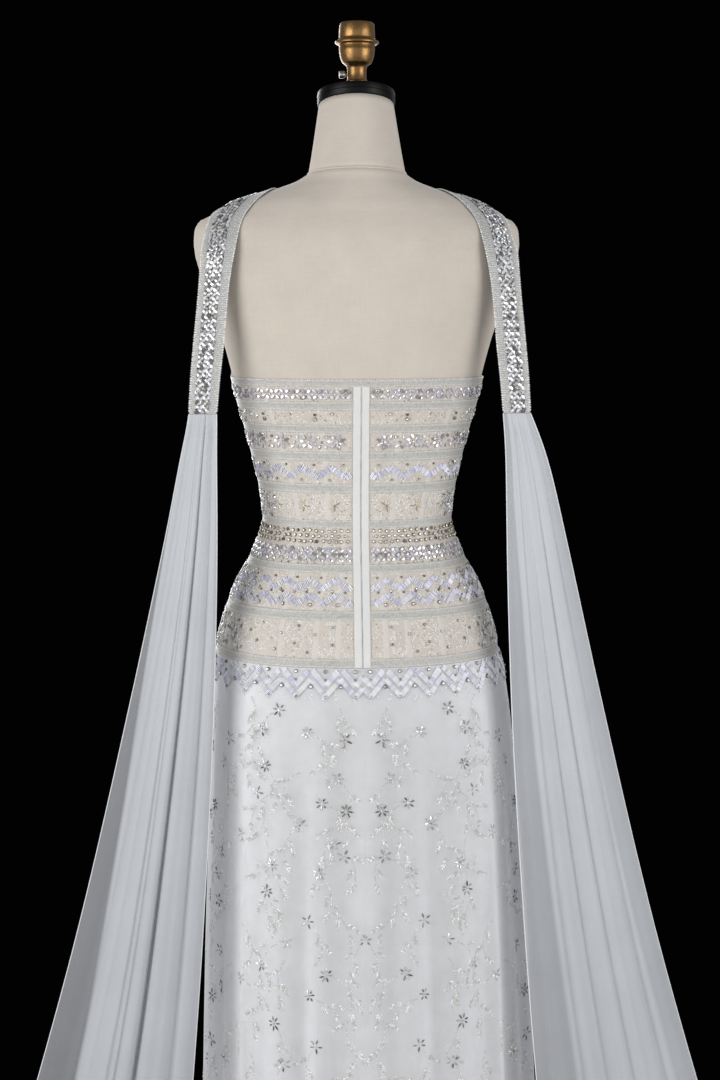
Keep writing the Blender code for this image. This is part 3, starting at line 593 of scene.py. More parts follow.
class Beadwork:
    """Many small beads of a few shapes, sewn over cloths and joined in one mesh."""

    def __init__(self):
        self.points, self.faces, self.tints, self.count = [], [], [], 0

    def add(self, shape, frames, size, tint, angle=0.0, out=0.0):
        """Copy a shape to each frame, turned in the cloth's plane, at a (length, width, height) size."""
        point, along, up, normal = (np.atleast_2d(v) for v in frames)
        number = len(point)
        angle = np.broadcast_to(angle, (number,))[:, None]
        size = np.broadcast_to(size, (number, 3)) / 2.0
        tint = np.broadcast_to(tint, (number, 3))
        first = np.cos(angle) * along + np.sin(angle) * up
        second = np.cross(normal, first)
        corners, faces = shape
        local = corners[None] * size[:, None]
        seat = point + normal * (out + size[:, 2:3] * 0.4)
        x, y, z = (local[..., k : k + 1] for k in range(3))
        world = seat[:, None] + x * first[:, None] + y * second[:, None] + z * normal[:, None]
        self.points.append(world.reshape(-1, 3))
        self.tints.append(np.repeat(tint, len(corners), axis=0))
        for copy in range(number):
            start = self.count + copy * len(corners)
            self.faces += [tuple(start + k for k in face) for face in faces]
        self.count += number * len(corners)

    def make(self, name, material):
        """Join the beads in one piece, with each bead's colour as an attribute."""
        points, tints = np.concatenate(self.points), np.concatenate(self.tints)
        mesh = bpy.data.meshes.new(name)
        mesh.vertices.add(len(points))
        mesh.vertices.foreach_set("co", points.astype(np.float32).ravel())
        sizes = np.array([len(face) for face in self.faces], np.int32)
        mesh.loops.add(int(sizes.sum()))
        corners = np.array([k for face in self.faces for k in face], np.int32)
        mesh.loops.foreach_set("vertex_index", corners)
        mesh.polygons.add(len(sizes))
        starts = np.concatenate([[0], np.cumsum(sizes)[:-1]]).astype(np.int32)
        mesh.polygons.foreach_set("loop_start", starts)
        mesh.update(calc_edges=True)
        mesh.polygons.foreach_set("use_smooth", [False] * len(sizes))
        colours = mesh.attributes.new("tint", "FLOAT_COLOR", "POINT")
        tints = np.pad(tints, ((0, 0), (0, 1)), constant_values=1.0)
        colours.data.foreach_set("color", tints.astype(np.float32).ravel())
        mesh.materials.append(material)
        return linked(name, mesh)


def start_bead(primitive, **sizes):
    """Primitive in edit mode, from which a bead is modelled."""
    deselect_all()
    primitive(**sizes)
    bpy.ops.object.transform_apply()
    enter("EDIT")


def taken_shape():
    """Corners and faces of the modelled bead, with its object removed."""
    enter("OBJECT")
    bead = bpy.context.object
    corners = np.array([tuple(v.co) for v in bead.data.vertices])
    faces = [tuple(p.vertices) for p in bead.data.polygons]
    bpy.data.objects.remove(bead, do_unlink=True)
    return corners, faces


def select_where(test):
    """In edit mode, select the vertices whose place passes a test, and nothing else."""
    bpy.ops.mesh.select_mode(type="VERT")
    bpy.ops.mesh.select_all(action="DESELECT")
    enter("OBJECT")
    for vertex in bpy.context.object.data.vertices:
        vertex.select = test(vertex.co)
    enter("EDIT")


@functools.cache
def pointed_crystal():
    """Boat-shaped faceted crystal, pointed at both ends, with a flat table."""
    sphere = bpy.ops.mesh.primitive_uv_sphere_add
    start_bead(sphere, segments=5, ring_count=3, radius=1.0, rotation=(0.0, QUARTER, 0.0))
    select_where(lambda co: abs(co.x) < 0.8)
    bpy.ops.transform.resize(value=(0.72, 1.08, 1.04))
    return taken_shape()


@functools.cache
def petal():
    """Small leaf, widest towards its head, that rises to a ridge."""
    start_bead(bpy.ops.mesh.primitive_cone_add, vertices=4, radius1=1.0, radius2=0.0, depth=2.0)
    select_where(lambda co: abs(co.y) > 0.3)
    bpy.ops.transform.translate(value=(0.28, 0.0, 0.0))
    select_where(lambda co: co.z > 0.9)
    bpy.ops.transform.translate(value=(0.1, 0.0, -0.8))
    return taken_shape()


@functools.cache
def round_crystal():
    """Round stone with a crown and a flat table."""
    start_bead(bpy.ops.mesh.primitive_cylinder_add, vertices=6, radius=1.0, depth=1.0)
    bpy.ops.mesh.select_mode(type="FACE")
    bpy.ops.mesh.select_all(action="DESELECT")
    enter("OBJECT")
    for face in bpy.context.object.data.polygons:
        face.select = face.normal.z > 0.9
    enter("EDIT")
    bpy.ops.mesh.inset(thickness=0.42)
    bpy.ops.transform.translate(value=(0.0, 0.0, 0.5))
    return taken_shape()


@functools.cache
def seed_bead():
    """Tiny bead that rises to a low peak."""
    start_bead(bpy.ops.mesh.primitive_cone_add, vertices=4, radius1=1.0, radius2=0.0, depth=2.0)
    select_where(lambda co: co.z > 0.9)
    bpy.ops.transform.translate(value=(0.0, 0.0, -1.15))
    return taken_shape()


@functools.cache
def bugle_bead():
    """Short bar bead, flat on top."""
    cylinder = bpy.ops.mesh.primitive_cylinder_add
    start_bead(cylinder, vertices=3, radius=1.0, depth=2.0, rotation=(0.0, QUARTER, 0.0))
    bpy.ops.mesh.select_all(action="SELECT")
    bpy.ops.transform.translate(value=(0.0, 0.0, 0.3))
    return taken_shape()


def fill(tree, node, inputs):
    """Set a node's inputs, each to a value or to another node's output."""
    for name, value in inputs.items():
        if isinstance(value, bpy.types.NodeSocket):
            tree.links.new(value, node.inputs[name])
        else:
            node.inputs[name].default_value = value


def add_node(tree, kind, properties=None, inputs=None):
    """Shader node with its own properties and inputs."""
    node = tree.nodes.new("ShaderNode" + kind)
    for name, value in (properties or {}).items():
        setattr(node, name, value)
    fill(tree, node, inputs or {})
    return node


def noise(tree, scale, detail, roughness=0.5, place=None):
    """Soft noise, in object coordinates unless another place is given."""
    if place is None:
        place = add_node(tree, "TexCoord").outputs["Object"]
    inputs = {"Vector": place, "Scale": scale, "Detail": detail, "Roughness": roughness}
    return add_node(tree, "TexNoise", inputs=inputs).outputs["Fac"]


def remap(tree, value, low, high, new_low, new_high):
    """Value moved from one range to another."""
    inputs = {"Value": value, "From Min": low, "From Max": high, "To Min": new_low, "To Max": new_high}
    return add_node(tree, "MapRange", inputs=inputs).outputs["Result"]


def combine(tree, operation, first, second):
    """Two values added or multiplied."""
    return add_node(tree, "Math", {"operation": operation}, {0: first, 1: second}).outputs[0]


def blend(tree, first, second, factor=1.0, how="MULTIPLY"):
    """Two colours multiplied or mixed."""
    inputs = {"Factor": factor, "A": first, "B": second}
    return add_node(tree, "Mix", {"data_type": "RGBA", "blend_type": how}, inputs).outputs["Result"]


def relief(tree, height, strength, depth):
    """Fine bump from a height."""
    inputs = {"Height": height, "Strength": strength, "Distance": depth}
    return add_node(tree, "Bump", inputs=inputs).outputs["Normal"]


def mask(tree, name):
    """Value that a piece's own attribute gives at each point."""
    return add_node(tree, "Attribute", {"attribute_name": name}).outputs["Fac"]


def surface(name, constants):
    """New material with its tree and its surface shader, which is set to constants."""
    material = bpy.data.materials.new(name)
    material.use_nodes = True
    tree = material.node_tree
    shader = tree.nodes["Principled BSDF"]
    fill(tree, shader, constants)
    return material, tree, shader


def opened(material):
    """Tree, surface shader and colour of a finished material, to be built on."""
    tree = material.node_tree
    shader = tree.nodes["Principled BSDF"]
    return tree, shader, shader.inputs["Base Color"].links[0].from_socket


def weave_group():
    """Cloth threads and soft mottling, for every woven material."""
    found = bpy.data.node_groups.get("Woven cloth")
    if found:
        return found
    group = bpy.data.node_groups.new("Woven cloth", "ShaderNodeTree")
    for name, default in (("Thread count", 900.0), ("Slub", 0.5), ("Mottling", 40.0)):
        socket = group.interface.new_socket(name, in_out="INPUT", socket_type="NodeSocketFloat")
        socket.default_value = default
    for name in ("Height", "Shade"):
        group.interface.new_socket(name, in_out="OUTPUT", socket_type="NodeSocketFloat")
    start = group.nodes.new("NodeGroupInput")
    end = group.nodes.new("NodeGroupOutput")
    place = add_node(group, "TexCoord").outputs["Object"]
    threads = []
    for stretch in ((1.0, 1.0, 0.06), (0.06, 0.06, 1.0)):
        mapping = add_node(group, "Mapping", inputs={"Vector": place, "Scale": stretch})
        count = start.outputs["Thread count"]
        threads.append(noise(group, count, 2.0, 0.6, mapping.outputs["Vector"]))
    height = combine(group, "ADD", *threads)
    slub = combine(group, "MULTIPLY", height, start.outputs["Slub"])
    mottling = noise(group, start.outputs["Mottling"], 3.0, 0.55)
    fill(group, end, {"Height": height, "Shade": combine(group, "ADD", mottling, slub)})
    return group


def cloth_material(name, colour, roughness, spread, bump, threads, mottling, sheen=0.0):
    """Woven cloth whose colour wanders a little, with its threads as fine bump."""
    constants = {
        "Roughness": roughness,
        "Specular IOR Level": 0.3,
        "Sheen Weight": sheen,
        "Sheen Roughness": 0.4,
    }
    material, tree, shader = surface(name, constants)
    inputs = {"Thread count": threads, "Slub": 0.5, "Mottling": mottling}
    weave = add_node(tree, "Group", {"node_tree": weave_group()}, inputs).outputs
    shade = remap(tree, weave["Shade"], 0.65, 1.35, 1.0 - spread, 1.0 + spread * 0.4)
    colour = blend(tree, (*colour, 1.0), shade)
    fill(tree, shader, {"Base Color": colour, "Normal": relief(tree, weave["Height"], bump, 0.0004)})
    return material


def metal_material(name, colour, roughness, wear=0.15, grain=300.0, metallic=1.0):
    """Metal with uneven polish and fine scratches."""
    material, tree, shader = surface(name, {"Metallic": metallic})
    scratches = noise(tree, grain, 4.0)
    tarnish = remap(tree, noise(tree, grain * 0.2, 3.0), 0.3, 0.7, 0.72, 1.05)
    inputs = {
        "Base Color": blend(tree, (*colour, 1.0), tarnish),
        "Roughness": remap(tree, scratches, 0.3, 0.7, roughness, roughness + wear),
        "Normal": relief(tree, scratches, 0.15, 0.0002),
    }
    fill(tree, shader, inputs)
    return material


@functools.cache
def bead_material(name, metallic, roughness, coat, shade):
    """Beads in each one's own tint, a little uneven in shade and polish."""
    constants = {"Metallic": metallic, "Coat Weight": coat, "Coat Roughness": 0.05}
    material, tree, shader = surface(name, constants)
    tint = add_node(tree, "Attribute", {"attribute_name": "tint"}).outputs["Color"]
    uneven = noise(tree, 700.0, 1.0)
    inputs = {
        "Base Color": blend(tree, tint, remap(tree, uneven, 0.3, 0.7, shade, 1.0)),
        "Roughness": remap(tree, uneven, 0.3, 0.7, roughness, roughness * 1.6),
    }
    fill(tree, shader, inputs)
    return material


def crystal_beads():
    """Cut crystals that mirror the lights."""
    return bead_material("cut_crystal", 0.45, 0.15, 0.5, 0.78)


def thread_beads():
    """Tube beads, seed beads and leaf beads."""
    return bead_material("small_beads", 0.0, 0.38, 0.3, 0.93)


def ribbon_material(name, satin, piping):
    """Satin with a fine beaded grain painted in as light at each grain's middle and shade between, and lighter
    piping where the mask says.
    """
    material = cloth_material(name, satin, 0.42, 0.1, 0.25, 1300.0, 60.0, sheen=0.15)
    tree, shader, tone = opened(material)
    piped = blend(tree, tone, (*piping, 1.0), mask(tree, "piping"), "MIX")
    place = add_node(tree, "TexCoord").outputs["Object"]
    # Painted highlight on each tiny bead of the grain and painted shade in the gaps between them
    grains = add_node(tree, "TexVoronoi", inputs={"Vector": place, "Scale": 560.0, "Randomness": 0.7})
    grain_light_and_shade = remap(tree, grains.outputs["Distance"], 0.1, 0.75, 1.08, 0.74)
    fill(tree, shader, {"Base Color": blend(tree, piped, grain_light_and_shade)})
    return material


def make_sheer(material, face_on, edge_on):
    """Let what is behind a cloth show through it, least where the cloth turns away from the eye."""
    tree, shader, _ = opened(material)
    facing = add_node(tree, "LayerWeight", inputs={"Blend": 0.5}).outputs["Facing"]
    fill(tree, shader, {"Alpha": remap(tree, facing, 0.1, 0.9, face_on, edge_on)})


def make_covered(material, full):
    """Let each point's own cover say how much of the light a cloth stops there."""
    tree, shader, _ = opened(material)
    fill(tree, shader, {"Alpha": combine(tree, "MULTIPLY", mask(tree, "cover"), full)})


def shade_valleys(material, depth):
    """Paint shade softly into a cloth's colour where its own valley mask says, darkest deep in its folds."""
    tree, shader, tone = opened(material)
    share = remap(tree, mask(tree, "valley"), 0.0, 1.0, 1.0, 1.0 - depth)
    fill(tree, shader, {"Base Color": blend(tree, tone, share)})


def give_mask(piece, name, values):
    """Write one value for each vertex as an attribute, the same on both sides of a cloth's wall."""
    values = np.ravel(values).astype(np.float32)
    attribute = piece.data.attributes.new(name, "FLOAT", "POINT")
    attribute.data.foreach_set("value", np.tile(values, len(piece.data.vertices) // len(values)))


# Bodice cloths, one for each quarter of the body, with shares from the centre to the side seam
BODICE_LEVELS = np.linspace(HIP_SEAM, BODICE_TOP, 60)


@functools.cache
def bodice_cloth(place, side):
    """Back or front quarter of the bodice, on the wearer's left (1) or right (-1)."""
    turns = np.linspace(0.0, QUARTER, 80) if place == "back" else np.linspace(math.pi, QUARTER, 100)
    grid = []
    for level in BODICE_LEVELS:
        points = body_points(lifted(level, turns), turns, CLOTH_OUT)
        grid.append(points * np.array([side, 1.0, 1.0]))
    return Cloth(grid, BODICE_LEVELS)


@functools.cache
def overlay_cloth(place, side):
    """Back or front quarter of the skirt's overlay."""
    levels = np.linspace(HEM, HIP_SEAM, 70)
    shares = np.linspace(0.0, 1.0, 145)
    turns, wave = panel_waves(OVERLAY, place, side, shares)
    grid = [skirt_points(OVERLAY, side, level, turns, wave) for level in levels]
    return Cloth(grid, levels)


def over_front(side, shares):
    """Shares of the whole front, from the wearer's left seam, for shares from its centre to a side."""
    return 0.5 + 0.5 * shares if side < 0 else 0.5 - 0.5 * shares


def lining_creases(place, side, shares):
    """Soft troughs of the lining at shares from the centre to the side."""
    if place == "back":
        return creases(shares, 10, 4)
    return creases(over_front(side, shares), 20, 5)


def panel_waves(layer, place, side, shares):
    """(turns, wave) of half a skirt layer's front, or of one back, from the centre to the side."""
    if place == "back":
        moved, wave = fold_wave(shares, layer.folds, layer.phase)
        return moved * QUARTER, wave
    across = over_front(side, shares)
    moved, wave = fold_wave(across, 2 * layer.folds, layer.phase + FRONT_PHASE)
    turn = QUARTER + 2.0 * QUARTER * moved
    return (turn if side > 0 else math.tau - turn), wave


def inside_form(x, y, z):
    """Whether points lie inside the form's torso."""
    half_width, front, back, power = read(BODY, z)
    depth = np.where(y > 0.0, back, front)
    reach = np.abs(y) - np.where(y < 0.0, bust(x, z), 0.0)
    filled = (np.abs(x) / half_width) ** power + (np.maximum(reach, 0.0) / depth) ** power < 1.0
    return filled & (z < TORSO_TOP)


def over_form(across, turn, out):
    """Points over the torso, straight out at angles from a level inside it."""
    dy, dz = np.sin(turn), np.cos(turn)
    low, high = np.zeros_like(across), np.full_like(across, 0.3)
    for _ in range(30):
        middle = (low + high) / 2.0
        filled = inside_form(across, middle * dy, RAY_HEIGHT + middle * dz)
        low, high = np.where(filled, middle, low), np.where(filled, high, middle)
    reach = low + out
    return np.stack([across, reach * dy, RAY_HEIGHT + reach * dz], axis=-1)


def neckline_turn(across):
    """Angle over the torso at which a band meets the bodice's top edge."""
    low, high = math.radians(-140.0), math.radians(-60.0)
    for _ in range(30):
        middle = (low + high) / 2.0
        x, y, z = over_form(np.array([across]), np.array([middle]), 0.0008)[0]
        if z < BODICE_TOP + float(neckline_lift(np.array(math.atan2(x, y)))) + 0.0006:
            low = middle
        else:
            high = middle
    return math.degrees(high)


@functools.cache
def band_cloth(side):
    """Shoulder band, with shares from its outer to its inner edge and levels along its length."""
    first = (BAND_START[0], neckline_turn(BAND_START[0]), BAND_START[1], neckline_turn(BAND_START[1]))
    table = [(number, *row) for number, row in enumerate((first, *BAND_ON_FORM))]
    outward = 1.0 - np.linspace(1.0, 0.0, 15)
    rows = []
    for place in np.linspace(0.0, len(table) - 1, 49):
        inner, inner_turn, outer, outer_turn = [float(v) for v in read(tuple(table), place)]
        across = inner + (outer - inner) * outward
        turn = np.radians(inner_turn + (outer_turn - inner_turn) * outward)
        rows.append(over_form(across, turn, BAND_OUT))
    for height in np.linspace(BAND_FREE[0][0], BAND_FREE[-1][0], 36):
        inner, inner_depth, outer, outer_depth = [float(v) for v in read(BAND_FREE, height)]
        x = inner + (outer - inner) * outward
        y = inner_depth + (outer_depth - inner_depth) * outward + BAND_OUT - 0.001
        rows.append(np.stack([x, y, np.full_like(x, height)], axis=-1))
    grid = np.stack(rows)[:, ::-1] * np.array([side, 1.0, 1.0])
    along = distances(grid[:, grid.shape[1] // 2])
    even = np.linspace(0.0, along[-1], 120)
    flat = grid.reshape(len(grid), -1)
    flat = np.stack([np.interp(even, along, column) for column in flat.T], axis=-1)
    grid = flat.reshape(len(even), *grid.shape[1:])
    for _ in range(10):
        grid[1:-1] = (grid[:-2] + 2.0 * grid[1:-1] + grid[2:]) / 4.0
    return Cloth(grid, even)


def wandering(side, drop, shares):
    """Shares across a cape, moved to and fro down its length so that no fold hangs quite straight."""
    inside = 4.0 * shares * (1.0 - shares)
    return shares[None] + 0.011 * inside[None] * np.sin(4.3 * drop + 7.0 * shares[None] + side)


def cape_points(side, folds, heights, shares, out):
    """Grid of a cape panel, from its inner to its outer edge, with fine gathers under the band."""
    inner, outer, depth, fold, wrap = [np.asarray(v)[:, None] for v in read(CAPE, heights)]
    drop = (CAPE_TOP - heights)[:, None]
    across = wandering(side, drop, shares)
    sharpness = 0.5 + 0.5 * np.sin(2.9 * drop + 23.0 * shares[None]) ** 2
    soft_wave = sum(read(folds, across + step)[0] for step in (-0.022, -0.011, 0.0, 0.011, 0.022)) / 5.0
    wave = soft_wave + sharpness * (read(folds, across)[0] - soft_wave)
    crowded = math.tau * (4.6 * shares + 0.17 * np.sin(9.0 * shares + 2.0 * side)) + 0.6
    deep = 0.001 + 0.0006 * np.sin(6.0 * shares + side)
    gather = (deep * np.sin(crowded))[None] * np.exp(-drop / 0.14) * np.clip(drop / 0.02, 0.0, 1.0)
    ripple = np.sin(math.tau * (9.0 * shares[None] + 0.5 * drop))
    soft = 0.025 * fold * ripple * np.sin(math.tau * 1.7 * shares[None])
    x = inner + (outer - inner) * shares[None]
    y = depth + fold * wave + gather + soft - wrap * (shares[None] - CAPE_BOW) ** 2 + out
    outward = CAPE_INNER_SWAY + (1.0 - CAPE_INNER_SWAY) * shares[None]
    sway = CAPE_SWAY * (1.0 - np.exp(-drop / CAPE_SWAY_DROP)) * outward
    return np.stack([side * x - sway, y, np.broadcast_to(heights[:, None], x.shape)], axis=-1)


def corded(name, line, radius, material):
    """Slim roll of cloth along a line of points."""
    deselect_all()
    curve = bpy.data.curves.new(name, "CURVE")
    curve.dimensions = "3D"
    curve.bevel_depth = radius
    curve.bevel_resolution = 1
    curve.use_fill_caps = True
    spline = curve.splines.new("POLY")
    spline.points.add(len(line) - 1)
    spline.points.foreach_set("co", np.pad(line, ((0, 0), (0, 1)), constant_values=1.0).ravel())
    roll = linked(name, curve)
    roll.select_set(True)
    bpy.context.view_layer.objects.active = roll
    bpy.ops.object.convert(target="MESH")
    roll = bpy.context.object
    roll.data.polygons.foreach_set("use_smooth", [True] * len(roll.data.polygons))
    roll.data.materials.clear()
    roll.data.materials.append(material)
    return roll


def turned_piece(name, profile, segments, material):
    """Round piece modelled from a circle that is extruded and scaled, ring by ring."""
    deselect_all()
    radius, height = profile[0]
    bpy.ops.mesh.primitive_circle_add(
        vertices=segments, radius=radius, location=(0.0, 0.0, height), fill_type="NGON"
    )
    piece = bpy.context.object
    piece.name = piece.data.name = name
    enter("EDIT")
    bpy.ops.mesh.select_mode(type="FACE")
    bpy.ops.mesh.select_all(action="SELECT")
    for following, next_height in profile[1:]:
        bpy.ops.mesh.extrude_region_move(TRANSFORM_OT_translate={"value": (0.0, 0.0, next_height - height)})
        factor = following / radius
        bpy.ops.transform.resize(value=(factor, factor, 1.0), center_override=(0.0, 0.0, next_height))
        radius, height = following, next_height
    bpy.ops.mesh.select_all(action="SELECT")
    bpy.ops.mesh.normals_make_consistent(inside=False)
    enter("OBJECT")
    bpy.ops.object.transform_apply()
    bpy.ops.object.shade_smooth_by_angle(angle=math.radians(35.0))
    piece.data.materials.append(material)
    return piece


def closed_rings(name, grid, material):
    """Piece from rings of points, closed by a flat end at its foot and its top."""
    rows, columns = grid.shape[:2]
    faces = grid_faces(rows, columns, True, closed=True)
    faces += [tuple(range(columns)), tuple(range((rows - 1) * columns, rows * columns))[::-1]]
    return new_piece(name, grid.reshape(-1, 3), faces, material)


def finished(piece, nodes=()):
    """Ride a piece on the part and hide the imported solids that it stands for."""
    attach(piece, "root")
    if nodes:
        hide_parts(*nodes)
    return piece


class GOWN_OT_form(bpy.types.Operator):
    """Cover the torso and neck of the form with linen."""

    bl_idname = "gown.form"
    bl_label = "Dress form"

    def execute(self, context):
        look = context.scene.gown_form
        linen = cloth_material("linen", look.linen, 0.85, 0.1, look.weave, 700.0, 22.0, sheen=0.35)
        turns = np.linspace(0.0, math.tau, 109)[:-1]
        heights = [*np.linspace(TORSO_FOOT, 1.44, 52), *np.linspace(1.447, TORSO_TOP, 22)]
        grid = np.stack([body_points(height, turns) for height in heights])
        grid[-1, :, 2] += NECK_FOOT_SLOPE * grid[-1, :, 1]
        grid[-2, :, 2] += 0.5 * NECK_FOOT_SLOPE * grid[-2, :, 1]
        finished(closed_rings("torso_linen", grid, linen), ["form_torso"])
        rings = []
        for share in np.linspace(0.0, 1.0, 14):
            x, y = ring([np.float64(v) for v in BODY[-1][1:]], turns)
            narrowing = share**NECK_FLARE
            x = x + (NECK_TOP_RADIUS * np.sin(turns) - x) * narrowing
            y = y + (NECK_TOP_RADIUS * np.cos(turns) - y) * narrowing
            slope = NECK_FOOT_SLOPE + (NECK_TOP_SLOPE - NECK_FOOT_SLOPE) * share
            level = TORSO_TOP + 0.0003 + (NECK_TOP - TORSO_TOP) * share
            rings.append(np.stack([x, y - NECK_LEAN * share, level + slope * y], axis=-1))
        grid = np.stack(rings)
        finished(closed_rings("neck_linen", grid, linen), ["form_neck"])
        centre = np.array([0.0, grid[0, :, 1].mean(), grid[0, :, 2].mean()])
        away = grid[0] - centre
        line = grid[0] + 0.0003 * away / np.linalg.norm(away, axis=1, keepdims=True)
        finished(corded("neck_seam", np.concatenate([line, line[:1]]), 0.0011, linen), ())
        return {"FINISHED"}


class GOWN_OT_metal(bpy.types.Operator):
    """Turn the neck cap, the finial and its screw, and the stand."""

    bl_idname = "gown.metal"
    bl_label = "Cap, finial and stand"

    def execute(self, context):
        look = context.scene.gown_form
        dark = metal_material("dark_metal", look.cap, 0.34, 0.12, 160.0)
        brass = metal_material("worn_brass", look.brass, 0.26, 0.2, 240.0)
        steel = metal_material("satin_steel", look.steel, 0.22, 0.15, 400.0)
        cap = turned_piece("cap_ring", CAP_OUTLINE, 64, dark)
        for vertex in cap.data.vertices:
            x, y, z = vertex.co
            vertex.co = (x, y - NECK_LEAN, NECK_TOP + 0.0006 + z + NECK_TOP_SLOPE * y)
        finished(cap, ["neck_cap"])
        finished(turned_piece("finial_seat", SEAT_OUTLINE, 48, dark), ())
        raised = [(r, FINIAL_FOOT + z) for r, z in FINIAL_OUTLINE]
        finished(turned_piece("brass_finial", raised, 64, brass), ["finial"])
        self.screw(steel)
        foot = TORSO_FOOT - 0.0003
        rim = ((0.048, foot - 0.01), (0.05, foot - 0.008), (0.05, foot - 0.0005), (0.0492, foot))
        finished(turned_piece("flange", rim, 64, steel), ["stand_flange"])
        tube = ((0.0104, 0.0453), (0.011, 0.046), (0.011, foot - 0.011), (0.0104, foot - 0.0103))
        finished(turned_piece("pole", tube, 48, steel), ["stand_pole"])
        finished(turned_piece("base_plate", BASE_OUTLINE, 96, dark), ["stand_base"])
        return {"FINISHED"}

    def screw(self, steel):
        """Head of the screw that clamps the finial, with its inner face sunk towards the finial's neck."""
        deselect_all()
        cylinder = bpy.ops.mesh.primitive_cylinder_add
        place = (SCREW_OUT, 0.0, SCREW_HEIGHT)
        cylinder(vertices=24, radius=0.0042, depth=0.005, location=place, rotation=(0.0, QUARTER, 0.0))
        screw = bpy.context.object
        screw.name = screw.data.name = "clamp_screw_head"
        bpy.ops.object.transform_apply()
        enter("EDIT")
        select_where(lambda co: co.x < 0.016)
        bpy.ops.mesh.select_mode(type="FACE")
        bpy.ops.mesh.inset(thickness=0.0026)
        bpy.ops.transform.translate(value=(-0.0042, 0.0, 0.0))
        enter("OBJECT")
        rounding = screw.modifiers.new("rounding", "BEVEL")
        rounding.width = 0.0007
        rounding.segments = 3
        bpy.ops.object.modifier_apply(modifier=rounding.name)
        bpy.ops.object.shade_smooth_by_angle(angle=math.radians(40.0))
        screw.data.materials.append(steel)
        finished(screw, ["clamp_screw"])


def bodice_grid(place, side, columns, rows):
    """Cloth of one bodice quarter as a grid, from the centre to the side seam."""
    cloth = bodice_cloth(place, side)
    shares = np.linspace(0.0, 1.0, columns)
    levels = np.linspace(HIP_SEAM + 0.0002, BODICE_TOP - 0.0004, rows)
    return np.stack([cloth.read(shares, np.full(columns, level)) for level in levels])


# Cross-section of a ribbon: share of its height, height over the cloth, and piping
RIBBON_PROFILE = (
    (0.0, 0.0005, 0.4), (0.05, 0.0011, 1.0), (0.12, 0.0013, 1.0), (0.19, 0.0011, 0.8), (0.25, 0.0009, 0.0),
    (0.5, 0.001, 0.0), (0.75, 0.0009, 0.0), (0.81, 0.0011, 0.8), (0.88, 0.0013, 1.0), (0.95, 0.0011, 1.0),
    (1.0, 0.0005, 0.4),
)

# Cross-section of a bone casing: share of its width from the middle, and height over the cloth
BONE_PROFILE = ((-0.5, 0.0001), (-0.42, 0.0004), (0.0, 0.0005), (0.42, 0.0004), (0.5, 0.0001))

# Bone casings, with their share of the panel's width at three levels and their two ends
Bone = namedtuple("Bone", "at_top at_waist at_hip low high")
BONE_WIDTH = 0.0075
BONES = {
    "back": (
        Bone(0.6, 0.46, 0.41, HIP_SEAM, BODICE_TOP),
        Bone(0.25, 0.235, 0.235, HIP_SEAM, 1.2243),
        Bone(0.13, 0.12, 0.12, HIP_SEAM, 1.128),
    ),
    "front": (
        Bone(0.6, 0.55, 0.5, HIP_SEAM, BODICE_TOP),
        Bone(0.25, 0.22, 0.22, HIP_SEAM, BODICE_TOP),
    ),
}

# Panels of the bodice and the skirt, with the quarters of the body that each covers
PANELS = {
    "back_left": (("back", 1),),
    "back_right": (("back", -1),),
    "front": (("front", 1), ("front", -1)),
}


def turned(place, side):
    """Whether the faces of a quarter's grid are turned, so that they look outwards."""
    return (side > 0) == (place == "back")


def panel_draws(seed, place):
    """Random draws of a panel, the same on both sides of the body."""
    return np.random.default_rng(seed + (0 if place == "back" else 50))


class GOWN_OT_bodice(bpy.types.Operator):
    """Cut the nude bodice panels and lay their bones and ribbons."""

    bl_idname = "gown.bodice"
    bl_label = "Bodice cloth and ribbons"

    def execute(self, context):
        look = context.scene.gown_bodice
        nude = cloth_material("nude_cloth", look.nude, 0.6, 0.1, 0.3, 1100.0, 55.0, sheen=0.2)
        satin = ribbon_material("ribbon_satin", look.ribbon, look.piping)
        casing = cloth_material("bone_casing", rgb(211, 205, 197), 0.5, 0.06, 0.2, 1200.0, 80.0)
        for name, quarters in PANELS.items():
            grids = [bodice_grid(place, side, 46, 56) for place, side in quarters]
            flips = [turned(place, side) for place, side in quarters]
            panel = shell("bodice_cloth_" + name, grids, BODICE_WALL, nude, flips)
            finished(panel, ["bodice_" + name])
            self.lay_ribbons(name, quarters, satin)
            self.lay_bones(name, quarters, casing)
        return {"FINISHED"}

    def lay_ribbons(self, name, quarters, satin):
        """Ribbons with a piped line along each edge."""
        strips, masks = Strips(), []
        for place, side in quarters:
            cloth = bodice_cloth(place, side)
            for low, high in RIBBONS:
                over_placket = place == "front" or high == BODICE_TOP
                start = 0.0 if over_placket else PLACKET_OUTER / cloth.width(low)
                shares = np.linspace(start, 1.0, 50)
                rows = [(shares, low + (high - low) * at, out) for at, out, _ in RIBBON_PROFILE]
                strips.add(laid(cloth, rows), turned(place, side))
                masks += [piping for _, _, piping in RIBBON_PROFILE for _ in shares]
        ribbons = strips.make("ribbons_" + name, satin)
        give_mask(ribbons, "piping", masks)
        finished(ribbons, ())

    def lay_bones(self, name, quarters, casing):
        """Bone casings that run down the panel, narrower towards the waist."""
        strips = Strips()
        for place, side in quarters:
            cloth = bodice_cloth(place, side)
            for bone in BONES[place]:
                levels = np.linspace(bone.low, bone.high, 48)
                places = (bone.at_hip, bone.at_waist, bone.at_top)
                shares = np.interp(levels, (HIP_SEAM, WAIST, BODICE_TOP), places)
                wide = BONE_WIDTH / np.array([cloth.width(level) for level in levels])
                rows = [(shares + across * wide, levels, out) for across, out in BONE_PROFILE]
                strips.add(laid(cloth, rows), not turned(place, side))
        finished(strips.make("bones_" + name, casing), ())


def tints(rng, number, *choices):
    """Random tints for a number of beads, from (share, display colour) choices."""
    shares = np.array([share for share, _ in choices])
    picks = rng.choice(len(choices), number, p=shares / shares.sum())
    table = np.array([rgb(*colour) for _, colour in choices])
    return table[picks] * rng.uniform(0.85, 1.1, (number, 1))


